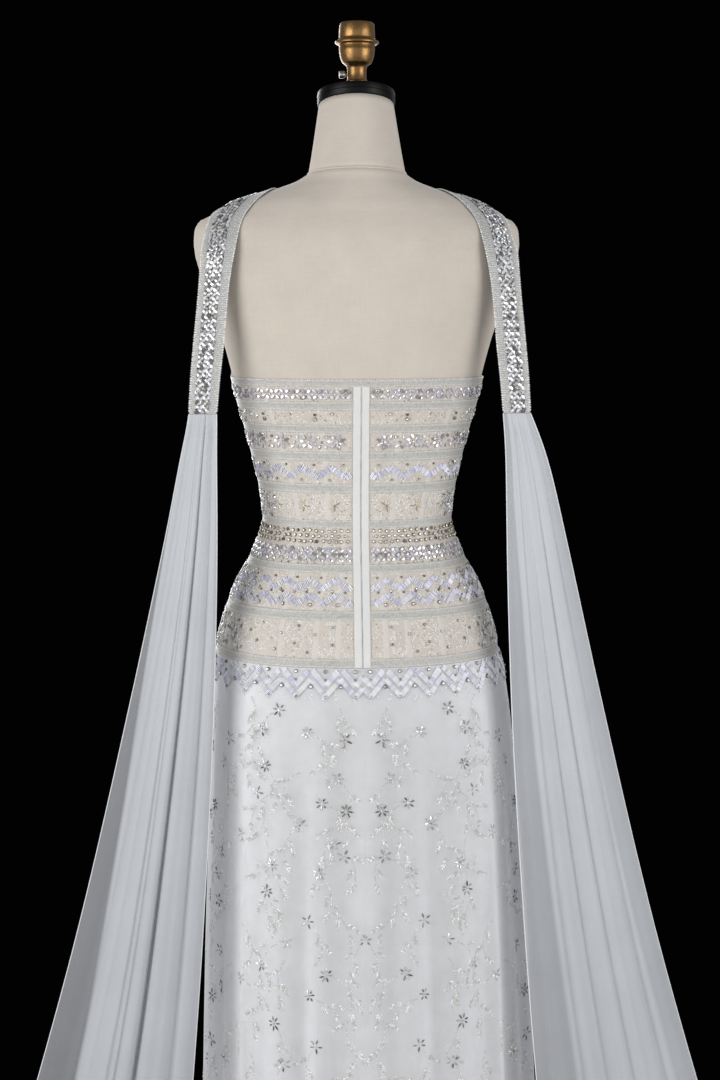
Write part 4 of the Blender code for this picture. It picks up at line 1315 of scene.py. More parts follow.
CLEAR = ((0.5, (244, 243, 245)), (0.18, (226, 223, 242)), (0.12, (242, 226, 226)), (0.2, (176, 175, 178)))
SILVER = ((0.5, (224, 224, 225)), (0.25, (166, 165, 164)), (0.25, (248, 248, 248)))
GOLDEN = ((0.58, (252, 244, 228)), (0.25, (226, 208, 172)), (0.12, (136, 120, 98)), (0.05, (84, 80, 74)))
SMOKE = ((0.6, (150, 144, 136)), (0.4, (214, 212, 208)))
CUP = ((0.6, (134, 129, 122)), (0.4, (100, 96, 91)))
LAVENDER = ((0.5, (232, 231, 249)), (0.3, (248, 248, 253)), (0.2, (214, 212, 237)))
FROST = ((0.4, (243, 243, 252)), (0.35, (255, 255, 255)), (0.25, (222, 222, 242)))
PALE = ((0.7, (244, 243, 240)), (0.3, (220, 218, 214)))
EDGING = ((0.45, (252, 252, 250)), (0.35, (216, 214, 210)), (0.2, (156, 154, 150)))
STAR = ((0.4, (138, 136, 132)), (0.35, (196, 195, 192)), (0.25, (92, 90, 86)))
SPRIG = ((0.4, (222, 221, 218)), (0.4, (198, 197, 193)), (0.2, (250, 250, 249)))
SPECK = ((0.55, (248, 246, 240)), (0.25, (226, 214, 192)), (0.2, (168, 164, 158)))
GARLAND = ((0.55, (248, 248, 248)), (0.15, (232, 230, 240)), (0.18, (190, 189, 188)), (0.12, (120, 117, 112)))
SPARKLE = ((0.42, (226, 226, 228)), (0.3, (176, 176, 178)), (0.14, (84, 80, 76)), (0.14, (212, 200, 180)))


# Pitch of the tube beads, and the share at which a panel's beads stop short of its side seam
TUBE_PITCH, LAST_SHARE = 0.0018, 0.998

# Distance from the centre at which a bodice panel's beads start
BEADS_START = {"back": 0.0115, "front": 0.0005}


def zigzag_line(width, start, pitch, period, rise, shift=0.0):
    """Even places along a zigzag: distance from the centre, height over its middle, and slope."""
    slope = math.atan2(2.0 * rise, period / 2.0)
    count = int((width - start) / (pitch * math.cos(slope)))
    along = start + (np.arange(count) + 0.5) * (width - start) / count
    phase = (along / period + shift) % 1.0
    return along, rise * (4.0 * np.abs(phase - 0.5) - 1.0), np.where(phase < 0.5, -1.0, 1.0) * slope


class Sewing:
    """Crystals and small beads that are sewn on one cloth."""

    def __init__(self, cloth, rng, cut, small):
        self.cloth, self.rng, self.cut, self.small = cloth, rng, cut, small

    def lay(self, shape, shares, levels, size, choices, angle=0.0, out=0.0006):
        """Beads of one shape at places on the cloth."""
        beads = self.cut if shape in (pointed_crystal, round_crystal) else self.small
        colours = tints(self.rng, np.size(shares), *choices)
        beads.add(shape(), self.cloth.frames(shares, levels), size, colours, angle, out)


class BodiceBeads(Sewing):
    """Beads of one bodice panel, row by row."""

    def __init__(self, place, side, seed, cut, small):
        super().__init__(bodice_cloth(place, side), panel_draws(seed, place), cut, small)
        self.start = BEADS_START[place]

    def spread(self, level, pitch, shift=0.0, start=None):
        """Shares at an even pitch along a level, from a distance off the centre to the side seam."""
        start = self.start if start is None else start
        width = self.cloth.width(level)
        count = max(int((width - start) / pitch), 1)
        return (start + (np.arange(count) + 0.5 + shift) * (width - start) / count) / width

    def sow(self, shape, shares, level, size, choices, angle=0.0, out=0.0006):
        """Beads at shares along a level, turned by degrees from the centre outwards and up."""
        keep = shares < LAST_SHARE
        angle = np.broadcast_to(angle, shares.shape)[keep]
        level = np.broadcast_to(level, shares.shape)[keep]
        if keep.any():
            self.lay(shape, shares[keep], level, size, choices, np.radians(angle), out)

    def pointed_row(self, level, spread, pitch, lean, size, choices):
        """Lattice of pointed crystals that lean to and fro in two mirrored rows."""
        shares = self.spread(level, pitch)
        signs = np.where(np.arange(len(shares)) % 2 == 0, 1.0, -1.0)
        for row in (-1, 1):
            jitter = self.rng.uniform(-6.0, 6.0, len(shares))
            angle = row * signs * lean + jitter
            self.sow(pointed_crystal, shares, level + row * spread, size, choices, angle)
        nodes = (shares[:-1] + shares[1:]) / 2.0
        self.sow(round_crystal, nodes[::2], level, (0.0024, 0.0024, 0.0016), choices)
        for row in (-1, 1):
            rim = level + row * spread * 1.9
            self.sow(seed_bead, nodes[1::2], rim, (0.0018, 0.0018, 0.0014), PALE)

    def flower_row(self, level, pitch):
        """Open flowers of pointed petals, with small stones between them."""
        width = self.cloth.width(level)
        centres = self.spread(level, pitch)
        reach = 0.0062
        for angle in (162.0, 108.0, 54.0, 4.0, -50.0, -104.0, -156.0):
            lean = np.radians(angle)
            shares = centres + 1.15 * reach * math.cos(lean) / width
            heights = level + 0.0006 + reach * math.sin(lean)
            self.sow(pointed_crystal, shares, heights, (0.0078, 0.0042, 0.0028), CLEAR, angle)
        self.sow(round_crystal, centres, level + 0.0006, (0.003, 0.003, 0.002), GOLDEN)
        between = self.spread(level, pitch, 0.5)
        for across, rise, size in ((-0.0045, 0.0062, 0.004), (0.0045, 0.0062, 0.0036), (0.0, 0.0, 0.0036)):
            stone = (size, size, size * 0.6)
            self.sow(round_crystal, between + across / width, level + rise, stone, SILVER)
        leaf = (0.0062, 0.0032, 0.0022)
        for across, angle in ((-0.0032, 60.0), (0.0032, -60.0)):
            self.sow(pointed_crystal, between + across / width, level - 0.0052, leaf, CLEAR, angle)
        shares = self.spread(level, 0.005)
        for rim in (level - 0.0098, level + 0.01):
            self.sow(seed_bead, shares, rim, (0.0016, 0.0016, 0.0012), PALE)

    def zigzag(self, level, rise, period, bead):
        """Zigzag of short tube beads laid across its line, between two lines of seed beads."""
        width = self.cloth.width(level)
        along, heights, slopes = zigzag_line(width, self.start, TUBE_PITCH, period, rise)
        heights = level + heights + self.rng.uniform(-0.0006, 0.0006, len(along))
        lean = np.degrees(slopes) + self.rng.uniform(-5.0, 5.0, len(along))
        self.sow(bugle_bead, along / width, heights, bead, LAVENDER, lean + 90.0)
        for row in (-1, 1):
            rim = heights[::2] + row * 0.0049
            self.sow(seed_bead, along[::2] / width, rim, (0.0018, 0.0018, 0.0013), PALE)

    def stones(self, level, pitch, size, choices, shift=0.0, jitter=0.0, height_jitter=0.0):
        """Round stones at a pitch along a level."""
        shares = self.spread(level, pitch, shift)
        shares = shares + self.rng.uniform(-jitter, jitter, len(shares)) / self.cloth.width(level)
        levels = level + self.rng.uniform(-height_jitter, height_jitter, len(shares))
        self.sow(round_crystal, shares, levels, (size, size, size * 0.36), CUP)
        inner = (size * 0.74, size * 0.74, size * 0.5)
        self.sow(round_crystal, shares, levels, inner, choices, out=0.0009)

    def sprigs(self, level, pitch, reach):
        """Starbursts of thin beads round a small stone."""
        centres = self.spread(level, pitch)
        width = self.cloth.width(level)
        for number in range(8):
            angle = number * 45.0 + 10.0
            lean = math.radians(angle)
            shares = centres + reach * 0.6 * math.cos(lean) / width
            height = level + reach * 0.6 * math.sin(lean)
            self.sow(bugle_bead, shares, height, (reach * 0.7, 0.0008, 0.0008), GOLDEN, angle)
        self.sow(round_crystal, centres, level, (0.0022, 0.0022, 0.0016), GOLDEN)

    def scrolls(self, low, high, number):
        """Small curved runs of seed beads, thicker towards the side seam."""
        size = 0.0017
        pitch = size * 1.15
        width = self.cloth.width((low + high) / 2.0)
        for _ in range(number):
            at = 1.0 - self.rng.uniform(0.0, 1.0) ** 1.25
            angle = self.rng.uniform(0.0, math.tau)
            bend = self.rng.choice([-1.0, 1.0]) * self.rng.uniform(90.0, 190.0)
            turn = angle + bend * np.arange(self.rng.integers(6, 12)) * pitch
            xs, zs = np.cumsum(np.cos(turn)) * pitch, np.cumsum(np.sin(turn)) * pitch
            level = self.rng.uniform(low, high)
            shares, levels = at + xs / width, level + zs
            keep = (levels > low) & (levels < high) & (shares > self.start / width) & (shares < LAST_SHARE)
            if keep.any():
                bead = (size, size, size * 0.6)
                self.sow(seed_bead, shares[keep], levels[keep], bead, PALE, out=0.0004)

    def specks(self, low, high, number):
        """Single seed beads scattered between the rows."""
        shares = self.rng.uniform(self.start / self.cloth.width(low), LAST_SHARE, number)
        levels = self.rng.uniform(low + 0.0008, high - 0.0008, number)
        self.sow(seed_bead, shares, levels, (0.0019, 0.0019, 0.0013), SPECK)

    def side_cluster(self, low, high, number):
        """Packed silver beads near the side seam."""
        level = self.rng.uniform(low + 0.001, high - 0.001, number)
        share = 1.0 - 0.33 * self.rng.uniform(0.0, 1.0, number) ** 1.25
        lean = self.rng.choice([-55.0, 55.0, 90.0, 10.0], number) + self.rng.uniform(-15.0, 15.0, number)
        self.sow(pointed_crystal, share, level, (0.006, 0.0028, 0.002), SILVER, lean)

    def sew(self):
        """Sew every row of the panel."""
        for low, high in RIBBONS:
            start = 0.0 if high == BODICE_TOP else self.start - 0.001
            for edge in (low + 0.1 * (high - low), high - 0.1 * (high - low)):
                shares = self.spread(edge, 0.0025, start=start)
                shares = shares + self.rng.uniform(-0.0003, 0.0003, len(shares))
                edges = edge + self.rng.uniform(-0.0003, 0.0003, len(shares))
                self.sow(seed_bead, shares, edges, (0.0022, 0.0022, 0.0015), EDGING, out=0.0011)
        for (low, _), (_, high) in zip(RIBBONS, RIBBONS[1:]):
            self.specks(high, low, int(9000.0 * (low - high)))
        rim, bead = self.spread(BODICE_TOP, 0.003, start=0.0), (0.0028, 0.0028, 0.0022)
        self.sow(seed_bead, rim, BODICE_TOP - 0.0003, bead, PALE, out=0.0008)
        self.pointed_row(1.269, 0.0034, 0.0064, 40.0, (0.0084, 0.0041, 0.0027), CLEAR)
        self.side_cluster(1.262, 1.2765, 46)
        self.stones(1.244, 0.027, 0.0036, GOLDEN, 0.1, 0.006, 0.003)
        self.stones(1.2405, 0.048, 0.0052, SMOKE, 0.25, 0.004, 0.001)
        self.scrolls(1.234, 1.2498, 44)
        self.side_cluster(1.2345, 1.2495, 26)
        self.flower_row(1.2134, 0.033)
        self.scrolls(1.203, 1.224, 20)
        self.side_cluster(1.2035, 1.2235, 40)
        self.zigzag(1.1782, 0.0058, 0.034, (0.0064, 0.0015, 0.0015))
        self.dots(1.1782, 0.034, 0.0088)
        self.scrolls(1.1655, 1.191, 44)
        self.side_cluster(1.166, 1.1905, 44)
        self.sprigs(1.139, 0.033, 0.008)
        self.scrolls(1.1225, 1.1535, 110)
        self.side_cluster(1.1235, 1.153, 100)
        for number, level in enumerate((1.1094, 1.1034, 1.0972)):
            self.stones(level, 0.0072, 0.0044, GOLDEN, 0.5 * (number % 2), 0.0007, 0.0006)
        self.stones(1.1003, 0.0036, 0.0018, SILVER, 0.2, 0.0008, 0.005)
        self.pointed_row(1.0852, 0.003, 0.0056, 48.0, (0.0082, 0.004, 0.0028), CLEAR)
        shares = self.spread(1.0768, 0.0058)
        lean = np.where(np.arange(len(shares)) % 2 == 0, 50.0, -50.0)
        self.sow(pointed_crystal, shares, 1.0768, (0.007, 0.0036, 0.0026), CLEAR, lean)
        self.stones(1.0728, 0.0105, 0.0024, GOLDEN, 0.3, 0.001, 0.0004)
        self.zigzag(1.049, 0.0054, 0.03, (0.0062, 0.0015, 0.0015))
        self.zigzag(1.0318, 0.0054, 0.03, (0.0062, 0.0015, 0.0015))
        self.dots(1.044, 0.03, 0.0125)
        self.dots(1.04, 0.03, 0.0)
        self.stones(1.0262, 0.03, 0.0048, SILVER)
        self.stones(1.042, 0.03, 0.004, SILVER, 0.25, 0.001, 0.001)
        self.scrolls(1.0205, 1.0618, 110)
        self.side_cluster(1.021, 1.0615, 90)
        for level, shift in ((1.002, 0.0), (0.993, 0.5), (0.983, 0.1), (0.974, 0.6)):
            self.stones(level, 0.041, 0.0034, SMOKE, shift, 0.004, 0.0015)
        self.scrolls(0.9672, 1.0088, 190)
        self.side_cluster(0.9675, 1.0085, 120)

    def dots(self, level, period, rise):
        """Small dark stones over the valleys and under the peaks of a zigzag."""
        width = self.cloth.width(level)
        along = np.arange(self.start + period * 0.25, width, period / 2.0)
        rises = np.where(np.arange(len(along)) % 2 == 0, rise, -rise)
        shares, levels = along / width, level + rises
        self.sow(round_crystal, shares, levels, (0.003, 0.003, 0.0014), CUP)
        self.sow(round_crystal, shares, levels, (0.0018, 0.0018, 0.0012), SMOKE, out=0.0011)


class GOWN_OT_bodice_beads(bpy.types.Operator):
    """Sew the bodice's crystals, tube beads, seed beads and stones."""

    bl_idname = "gown.bodice_beads"
    bl_label = "Bodice beads"

    def execute(self, context):
        look = context.scene.gown_bodice
        for name, quarters in PANELS.items():
            cut, small = Beadwork(), Beadwork()
            for place, side in quarters:
                BodiceBeads(place, side, look.seed, cut, small).sew()
            finished(cut.make("crystals_" + name, crystal_beads()))
            finished(small.make("beads_" + name, thread_beads()))
        return {"FINISHED"}


# Cross-section of a placket strip: share of its width from the zip, and height over the bodice
PLACKET_PROFILE = (
    (0.0, 0.0002), (0.04, 0.0007), (0.12, 0.0009), (0.2, 0.0008), (0.5, 0.0009), (0.8, 0.0008),
    (0.9, 0.0008), (0.97, 0.0005), (1.0, 0.0),
)


class GOWN_OT_placket(bpy.types.Operator):
    """Lay the two satin placket strips and the zip between them."""

    bl_idname = "gown.placket"
    bl_label = "Placket and zip"

    def execute(self, context):
        look = context.scene.gown_bodice
        satin = cloth_material("placket_satin", look.satin, 0.38, 0.05, 0.2, 1400.0, 70.0, sheen=0.1)
        levels = np.linspace(PLACKET_FOOT, PLACKET_TOP, 90)
        seat = body_outline(levels, np.zeros_like(levels))[1] + PLACKET_OUT
        for name, side in (("left", 1), ("right", -1)):
            rows = []
            for share, out in PLACKET_PROFILE:
                x = side * (PLACKET_INNER + (PLACKET_OUTER - PLACKET_INNER) * share)
                ripple = 0.00012 * np.sin(levels * 310.0 + side) * np.sin(levels * 97.0)
                rows.append(np.stack([np.full_like(levels, x), seat + out + ripple, levels], axis=-1))
            strips = Strips()
            strips.add(np.stack(rows), side < 0)
            strip = strips.make("placket_satin_" + name, satin)
            finished(strip, ["placket_" + name])
        self.close_zip()
        return {"FINISHED"}

    def close_zip(self):
        """Chain of the closed zip's teeth, between the two strips."""
        points, faces = [], []
        for level in np.arange(ZIP_FOOT, ZIP_TOP, TOOTH_PITCH):
            y = float(body_outline(np.array(level), np.array(0.0))[1]) + TEETH_OUT
            start = len(points)
            for dx, dz in ((-0.0008, -0.00075), (0.0008, -0.00075), (0.0008, 0.00075), (-0.0008, 0.00075)):
                points += [(dx, y - 0.0003, level + dz), (dx * 0.85, y + 0.0005, level + dz * 0.8)]
            faces.append((start + 7, start + 5, start + 3, start + 1))
            for k in (0, 2, 4, 6):
                faces.append((start + k, start + k + 1, start + (k + 3) % 8, start + (k + 2) % 8))
        metal = metal_material("zip_teeth", rgb(206, 206, 207), 0.45, metallic=0.3)
        finished(new_piece("zip_chain", points, faces, metal, smooth=False), ["zip"])


def layer_grid(layer, place, side, columns, heights):
    """Grid of a skirt layer's panel from the centre to the side seam, with the lining's creases sunk in."""
    shares = np.linspace(0.0, 1.0, columns)
    turns, wave = panel_waves(layer, place, side, shares)
    sunk = CREASE_DEPTH * lining_creases(place, side, shares) if layer is LINING else 0.0 * shares
    rows = []
    for height in heights:
        full = min((HIP_SEAM - height) / CREASE_START, 1.0)
        rows.append(skirt_points(layer, side, height, turns, wave, -full * sunk))
    return np.stack(rows)


def valley_values(piece, quarters):
    """How deep in a fold of the lining each of a panel's points lies, from 0 on a ridge to 1, which sets the
    painted shade there.
    """
    place = quarters[0][0]
    points = np.array([tuple(vertex.co) for vertex in piece.data.vertices])
    drop = np.maximum(HIP_SEAM - points[:, 2], 0.0)
    across = (points[:, 0] + LINING.sway * np.sqrt(drop)) / VALLEY_REACH
    turn = np.arcsin(np.clip(np.abs(across), 0.0, 1.0))
    shares = np.linspace(0.0, 1.0, 400)
    values = np.zeros(len(points))
    for _, side in quarters:
        turns, wave = panel_waves(LINING, place, side, shares)
        turns = turns if place == "back" else math.pi - turns
        order = np.argsort(turns)
        deep = VALLEY_FOLD * (1.0 - wave) + VALLEY_CREASE * lining_creases(place, side, shares)
        on_side = points[:, 0] * side >= 0.0
        values[on_side] = np.interp(turn[on_side], turns[order], deep[order])
    return np.clip(values, 0.0, 1.0) * np.clip(drop / VALLEY_START, 0.0, 1.0)


class GOWN_OT_skirt(bpy.types.Operator):
    """Hang the white lining and the sheer overlay."""

    bl_idname = "gown.skirt"
    bl_label = "Skirt lining and overlay"

    def execute(self, context):
        look = context.scene.gown_skirt
        crepe = cloth_material("lining_crepe", look.lining, 0.65, 0.05, 0.25, 1000.0, 30.0, sheen=0.1)
        tulle = cloth_material("tulle", look.tulle, 0.6, 0.08, 0.2, 1500.0, 60.0, sheen=0.2)
        make_sheer(tulle, look.sheer, 0.85)
        # Painted shade deep in the lining's folds, from its valley mask
        shade_valleys(crepe, 0.2)
        heights = np.linspace(HEM, HIP_SEAM - 0.0003, 44)
        for name, quarters in PANELS.items():
            flips = [turned(place, side) for place, side in quarters]
            grids = [layer_grid(LINING, place, side, 97, heights) for place, side in quarters]
            lining = shell("lining_cloth_" + name, grids, LINING_WALL, crepe, flips)
            give_mask(lining, "valley", valley_values(lining, quarters))
            finished(lining, ["lining_" + name])
            grids = [layer_grid(OVERLAY, place, side, 85, heights) for place, side in quarters]
            overlay = shell("overlay_tulle_" + name, grids, TULLE_WALL, tulle, flips)
            finished(overlay, ["overlay_" + name])
        return {"FINISHED"}


# Rows of sprigs on the skirt: pitch, highest and lowest row, and the share of sprigs that have a star
SPRIG_PITCH = {"back": 0.0465, "front": 0.06}
SPRIG_TOP, SPRIG_FOOT, STAR_SHARE = 0.914, 0.04, 0.52


class SkirtBeads(Sewing):
    """Chevrons, stars and sprigs of one overlay panel."""

    def __init__(self, place, side, seed, cut, small):
        super().__init__(overlay_cloth(place, side), panel_draws(seed, place), cut, small)
        self.place, self.seed = place, seed

    def chevrons(self):
        """Nested zigzags of tube beads below the hip seam, with stones between."""
        cloth, rng = self.cloth, self.rng
        period, rise = 0.0345, 0.0098
        for level, shape, size, choices, pitch, turn in (
            (0.946, bugle_bead, (0.0064, 0.0017, 0.0014), FROST, TUBE_PITCH, QUARTER),
            (0.9396, seed_bead, (0.0018, 0.0018, 0.0013), PALE, 0.0023, 0.0),
            (0.934, bugle_bead, (0.0056, 0.0017, 0.0014), FROST, TUBE_PITCH, QUARTER),
            (0.9288, seed_bead, (0.0017, 0.0017, 0.0012), SPRIG, 0.0024, 0.0),
            (0.9516, seed_bead, (0.0018, 0.0018, 0.0013), PALE, 0.0023, 0.0),
        ):
            width = cloth.width(level)
            along, heights, slopes = zigzag_line(width, 0.0, pitch, period, rise, 0.25)
            heights = level + heights
            keep = heights < HIP_SEAM - 0.003
            lean = slopes + turn + rng.uniform(-0.06, 0.06, len(along))
            self.lay(shape, along[keep] / width, heights[keep], size, choices, lean[keep])
        for level, shift, size, choices in (
            (0.952, 0.75, 0.0046, SILVER),
            (0.935, 0.25, 0.0048, SILVER),
            (0.924, 0.75, 0.0036, SILVER),
            (0.9425, 0.75, 0.0032, SMOKE),
        ):
            width = cloth.width(level)
            along = (np.arange(int(width / period) + 1) + shift) * period - 0.5 * period
            shares = along[(along > 0.001) & (along < width - 0.002)] / width
            inner = (size * 0.74, size * 0.74, size * 0.5)
            self.lay(round_crystal, shares, level, (size, size, size * 0.4), CUP, out=0.001)
            self.lay(round_crystal, shares, level, inner, choices, out=0.0018)
        shares = rng.uniform(0.0, LAST_SHARE, 190)
        levels = rng.uniform(0.92, HIP_SEAM - 0.002, 190)
        self.lay(seed_bead, shares, levels, (0.002, 0.002, 0.0014), FROST, out=0.0004)

    def stars_and_sprigs(self):
        """Staggered rows of drooping sprigs and stars, the same to both sides of the centre."""
        pitch = SPRIG_PITCH[self.place]
        row, level, number = 0, SPRIG_TOP, 0
        while level > SPRIG_FOOT:
            columns = round(overlay_cloth(self.place, 1).width(level) / pitch)
            width = self.cloth.width(level)
            for column in range(columns):
                number += 1
                rng = self.rng = np.random.default_rng((self.seed, len(self.place), number))
                share = (column + (0.22 if row % 2 else 0.7)) / columns + rng.uniform(-0.015, 0.015) / width
                height = level + rng.uniform(-0.014, 0.014)
                lean = rng.uniform(0.4, 1.3) * (1.0 if (row + column) % 2 else -1.0)
                self.sprig(share, height, width, lean - QUARTER, -lean)
                if rng.uniform() < STAR_SHARE:
                    self.star(share, height, width)
            level -= pitch * (0.78 + 0.26 * (0.9 - level))
            row += 1

    def star(self, share, level, width):
        """Five to seven thin rays around a small stone, clear of it."""
        rng = self.rng
        count = 5 + int(rng.integers(0, 3))
        reach = rng.uniform(0.0048, 0.006)
        angles = rng.uniform(0.0, math.tau) + np.arange(count) * math.tau / count
        angles = angles + rng.uniform(-0.18, 0.18, count)
        shares, levels = share + reach * np.cos(angles) / width, level + reach * np.sin(angles)
        keep = (shares > 0.002) & (shares < LAST_SHARE)
        shares, levels, angles = shares[keep], levels[keep], angles[keep]
        number = len(shares)
        if number:
            choices = STAR if rng.uniform() < 0.6 else SILVER
            length = rng.uniform(0.8, 1.2, number) * reach * 1.15
            size = np.stack([length, np.full(number, 0.0019), np.full(number, 0.0015)], axis=1)
            self.lay(pointed_crystal, shares, levels, size, choices, angles, 0.0004)
        if 0.002 < share < LAST_SHARE:
            self.lay(round_crystal, share, level, (0.0026, 0.0026, 0.0018), SILVER)

    def run(self, shape, shares, levels, size, angle):
        """Small beads of one shape at those places that lie on the panel."""
        keep = (shares > 0.004) & (shares < 0.996) & (levels > 0.006) & (levels < 0.921)
        if keep.any():
            angle = np.broadcast_to(angle, keep.shape)[keep]
            size = np.broadcast_to(size, (len(keep), 3))[keep]
            self.lay(shape, shares[keep], levels[keep], size, SPRIG, angle, 0.0003)

    def sprig(self, share, level, width, angle, bow):
        """Curving stem of seed beads with feathery leaves on both sides and one at its tip."""
        rng = self.rng
        bend = math.copysign(rng.uniform(10.0, 36.0), bow)
        step = 0.0023
        count = int(rng.integers(13, 24))
        turn = angle + bend * np.arange(count) * step
        xs = 0.008 * math.cos(angle) + np.cumsum(np.cos(turn)) * step
        zs = 0.008 * math.sin(angle) + np.cumsum(np.sin(turn)) * step
        shares, levels = share + xs / width, level + zs
        self.run(seed_bead, shares, levels, (0.0022, 0.0022, 0.0016), 0.0)
        side = rng.choice([-1.0, 1.0])
        for at in (count // 3, (2 * count) // 3):
            self.leaf(shares[at], levels[at], width, turn[at] + side * rng.uniform(0.7, 1.1), -side)
            side = -side
        self.leaf(shares[-1], levels[-1], width, turn[-1], math.copysign(1.0, bend))

    def leaf(self, share, level, width, heading, side):
        """Feathery leaf: pairs of petals along a bent rib, smaller towards its tip."""
        number = int(self.rng.integers(4, 8))
        pitch = 0.0028
        turn = heading + side * self.rng.uniform(10.0, 60.0) * np.arange(number) * pitch
        xs, zs = np.cumsum(np.cos(turn)) * pitch, np.cumsum(np.sin(turn)) * pitch
        taper = np.linspace(1.0, 0.72, number)
        size = np.outer(taper, (0.0054, 0.0024, 0.0013))
        for row in (-1.0, 1.0):
            lean = turn + row * 0.68
            along, up = xs + 0.0021 * taper * np.cos(lean), zs + 0.0021 * taper * np.sin(lean)
            self.run(petal, share + along / width, level + up, size, lean)


class GOWN_OT_skirt_beads(bpy.types.Operator):
    """Sew the hip chevrons, stars and sprigs on the overlay."""

    bl_idname = "gown.skirt_beads"
    bl_label = "Skirt beads"

    def execute(self, context):
        look = context.scene.gown_skirt
        for name, quarters in PANELS.items():
            cut, small = Beadwork(), Beadwork()
            for place, side in quarters:
                panel = SkirtBeads(place, side, look.seed, cut, small)
                panel.chevrons()
                panel.stars_and_sprigs()
            finished(cut.make("stars_" + name, crystal_beads()))
            finished(small.make("sprigs_" + name, thread_beads()))
        return {"FINISHED"}


# Cross-section of a shoulder band: share from its outer edge, height over the cloth, and piping
BAND_PROFILE = (
    (0.0, 0.0, 0.9), (0.03, 0.0005, 0.8), (0.08, 0.0006, 0.7), (0.13, 0.0006, 0.7), (0.16, 0.0009, 1.0),
    (0.19, 0.0009, 1.0), (0.21, 0.0002, 0.0), (0.45, 0.0003, 0.0), (0.7, 0.0002, 0.0), (0.72, 0.0009, 1.0),
    (0.76, 0.001, 1.0), (0.78, 0.0006, 0.7), (0.85, 0.0006, 0.7), (0.92, 0.0006, 0.7), (0.97, 0.0005, 0.8),
    (1.0, 0.0, 0.9),
)


class GOWN_OT_bands(bpy.types.Operator):
    """Make the beaded shoulder bands."""

    bl_idname = "gown.bands"
    bl_label = "Shoulder bands"

    def execute(self, context):
        look = context.scene.gown_bodice
        # Dark grey satin, whose darkness under the garland also paints the shade in the gaps between its
        # crystals, along with their dark settings
        satin = ribbon_material("band_satin", rgb(146, 145, 143), rgb(190, 189, 187))
        for name, side in (("left", 1), ("right", -1)):
            cloth = band_cloth(side)
            grid = laid(cloth, [(share, cloth.levels, out) for share, out, _ in BAND_PROFILE])
            band = shell("band_satin_" + name, [grid], BAND_WALL, satin, [side < 0])
            give_mask(band, "piping", [piping for _, _, piping in BAND_PROFILE for _ in cloth.levels])
            finished(band, ["shoulder_band_" + name])
            self.sew(name, cloth, np.random.default_rng(look.seed + 3))
        return {"FINISHED"}

    def sew(self, name, cloth, rng):
        """Edge beads, piping beads and the crystal garland of a band."""
        cut, small, length = Beadwork(), Beadwork(), cloth.levels[-1]
        lay = Sewing(cloth, rng, cut, small).lay
        rows = [(0.004, 0.0029, 0.003), (0.996, 0.0029, 0.0028)]
        rows += [(0.175, 0.002, 0.0017), (0.74, 0.002, 0.0018)]
        rows += [(share, 0.0021, 0.0015) for share in (0.05, 0.09, 0.13, 0.79, 0.83, 0.87, 0.91, 0.95)]
        for share, pitch, size in rows:
            levels = np.arange(0.002, length - 0.001, pitch)
            levels = levels + rng.uniform(-0.0003, 0.0003, len(levels))
            shares = np.full(len(levels), share)
            lay(seed_bead, shares, levels, (size, size, size * 0.8), PALE, out=0.0009)
        width = cloth.width(length * 0.6)
        for column, share in enumerate((0.245, 0.35, 0.455, 0.56, 0.665)):
            levels = np.arange(0.003 + 0.0014 * (column % 2), length - 0.002, 0.0052)
            signs = np.where((np.arange(len(levels)) + column) % 2 == 0, 1.0, -1.0)
            lean = signs * math.radians(48.0) + rng.uniform(-0.35, 0.35, len(levels))
            shares = share + rng.uniform(-0.0007, 0.0007, len(levels)) / width
            size = np.outer(rng.uniform(0.85, 1.15, len(levels)), (0.007, 0.0038, 0.0024))
            lay(pointed_crystal, shares, levels, size, GARLAND, lean)
        count = int(length / 0.0021)
        levels = rng.uniform(0.002, length - 0.002, count)
        shares = rng.uniform(0.205, 0.705, count)
        size = np.outer(rng.uniform(0.0016, 0.0032, count), (1.0, 1.0, 0.9))
        lay(round_crystal, shares, levels, size, SPARKLE, out=0.0004)
        finished(cut.make("crystals_band_" + name, crystal_beads()))
        finished(small.make("beads_band_" + name, thread_beads()))


# Cover of a cape, which also paints shade as darker see-through chiffon: (drop, inner turned-back edge, outer
# one), cover across, lower beyond those edges partly for the sheer cloth and partly as painted shade where it
# turns away from the light, and (share, depth) creases, where less cover paints their shade
CAPE_COVER_AND_SHADE = {
    "left": (
        ((0.2, 0.06, 0.7), (0.55, 0.05, 0.765), (0.8, 0.04, 0.84), (1.04, 0.03, 0.94), (1.15, 0.01, 1.0)),
        (0.8, 0.88, 0.31),
        ((0.385, 0.34), (0.515, 0.1), (0.56, 0.12)),
    ),
    "right": (
        ((0.2, 0.25, 0.87), (0.55, 0.24, 0.86), (0.8, 0.22, 0.83), (1.04, 0.19, 0.78), (1.15, 0.14, 0.8)),
        (0.57, 0.97, 0.74),
        ((0.275, 0.26), (0.59, 0.1), (0.79, 0.12)),
    ),
}

# Share of that cover at a drop below the band: more where the cloth is gathered, and less towards the hem,
# which paints the shade of the light falling off downwards
GATHER_AND_SHADE = ((0.2, 0.7), (0.75, 0.88), (1.15, 1.0))


